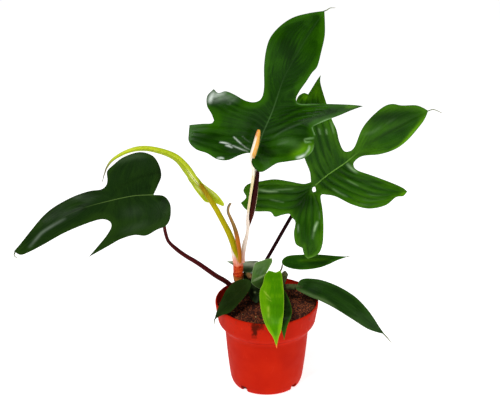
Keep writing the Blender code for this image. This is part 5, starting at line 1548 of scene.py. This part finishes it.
blade("blade_new_flaps", FLAP_SHEET, "new_leaf", leaf_finish(
    "leaf_new", (160, 178, 14), (190, 204, 40), (170, 190, 50), (224, 232, 130), line=(0.5, 0.0, 0.0),
    band=3.0, rim=0.3, dusk=0.72), step=0.0009, solid=False)

# The drip tips: the large leaves and some of the small ones run out into a fine thread of their
# own tissue, dry and brownish at the end. The bright small leaf's has gone red.

THREADS = {
    "thread_top": ("green_leaf", [(58.5, 450.5, 33.5, 0.6), (62, 452, 34.5, 0.5), (65, 454, 35, 0.4),
                                  (70.5, 454.3, 35, 0.2)]),
    "thread_right": ("green_leaf", [(174, 338.5, 64, 0.6), (180, 340.5, 64, 0.5), (185, 339, 64, 0.4),
                                    (190, 336.5, 64, 0.3)]),
    "thread_left": ("dark_leaf", [(-289, 167, -34.5, 0.8), (-290.2, 164, -36, 0.6),
                                  (-289, 161.5, -36, 0.5), (-286.5, 159.5, -36, 0.3)]),
    "thread_rim": ("dark_leaf", [(-61.2, 79.8, -43.2, 0.6), (-61.5, 77, -44, 0.5),
                                 (-61.5, 74, -44, 0.3)]),
    "thread_bright": ("bright_leaf", [(11.8, 45.5, -74.2, 0.9), (11.9, 43.6, -74.8, 0.8),
                                      (12, 41.2, -75.2, 0.4)]),
    "thread_level": ("green_leaf", [(91.5, 161.6, 49.8, 0.6), (94.8, 161.6, 50, 0.3)]),
    "thread_long": ("dark_leaf", [(138, 60.4, -13.6, 0.8), (143, 54.5, -16, 0.6), (147.8, 48, -18, 0.3)]),
}

dry_tip = stem_finish("dry_tip", (48, 80, 30), (96, 104, 48), (120, 110, 70), (70, 80, 40))
red_tip = stem_finish("red_tip", (190, 176, 40), (220, 120, 40), (222, 80, 50), (230, 120, 70))
for name, (slot, route) in THREADS.items():
    stem(name, route, slot, red_tip if name == "thread_bright" else dry_tip, Depth=0.00002, Sides=10)

# The stage: a wide white floor and backdrop under soft studio light, and the camera of the
# photograph, which looks down a little from in front.

STAGE_REACH = 55.0
CAMERA_TILT = math.radians(66)
CAMERA_LENS = 93.6


def stage_floor():
    mesh = bpy.data.meshes.new("white_floor")
    corners = [(-STAGE_REACH, -STAGE_REACH, 0), (STAGE_REACH, -STAGE_REACH, 0),
               (STAGE_REACH, STAGE_REACH, 0), (-STAGE_REACH, STAGE_REACH, 0)]
    mesh.from_pydata(corners, [], [(0, 1, 2, 3)])
    paper = Finish("white_paper", Specular_IOR_Level=0.0, Emission_Color=(1, 1, 1, 1),
                   Emission_Strength=0.75)
    paper.colour = paper.mix(paper.noise(0.7, 2.0), (1.0, 1.0, 1.0, 1.0), (0.985, 0.985, 0.985, 1.0))
    mesh.materials.append(paper.dress(1.0))
    new_piece("white_floor", mesh)


def studio_light(name, place_at, aim, size, power):
    lamp = bpy.data.lights.new(name, "AREA")
    lamp.shape = "RECTANGLE"
    lamp.size, lamp.size_y = size
    lamp.energy = power
    holder = bpy.data.objects.new(name, lamp)
    holder.location = place_at
    holder.rotation_euler = (Vector(aim) - Vector(place_at)).to_track_quat("-Z", "Y").to_euler()
    bpy.context.scene.collection.objects.link(holder)


stage_floor()
studio_light("key", (-0.70, -0.85, 1.50), (-0.03, 0, 0.25), (0.8, 0.8), 12.0)
studio_light("fill", (1.15, -0.70, 0.9), (-0.03, 0, 0.2), (0.8, 0.8), 6.0)
studio_light("top", (0.05, -0.15, 1.75), (-0.03, 0, 0.25), (1.0, 0.4), 4.5)
studio_light("sparkle", (-0.35, -0.90, 1.55), (-0.03, 0, 0.25), (0.12, 0.12), 5.0)

scene = bpy.context.scene
scene.world = scene.world or bpy.data.worlds.new("studio")
scene.world.use_nodes = True
backdrop = scene.world.node_tree.nodes["Background"]
backdrop.inputs["Color"].default_value = (1, 1, 1, 1)
backdrop.inputs["Strength"].default_value = 0.14
scene.view_settings.view_transform = "Standard"

lens = bpy.data.cameras.new("camera")
lens.lens = CAMERA_LENS
lens.sensor_width = 36.0
lens.clip_start = 0.05
lens.clip_end = 60.0
camera = bpy.data.objects.new("camera", lens)
camera.location = CAMERA_PLACE
camera.rotation_euler = (CAMERA_TILT, 0, 0)
scene.collection.objects.link(camera)
scene.camera = camera
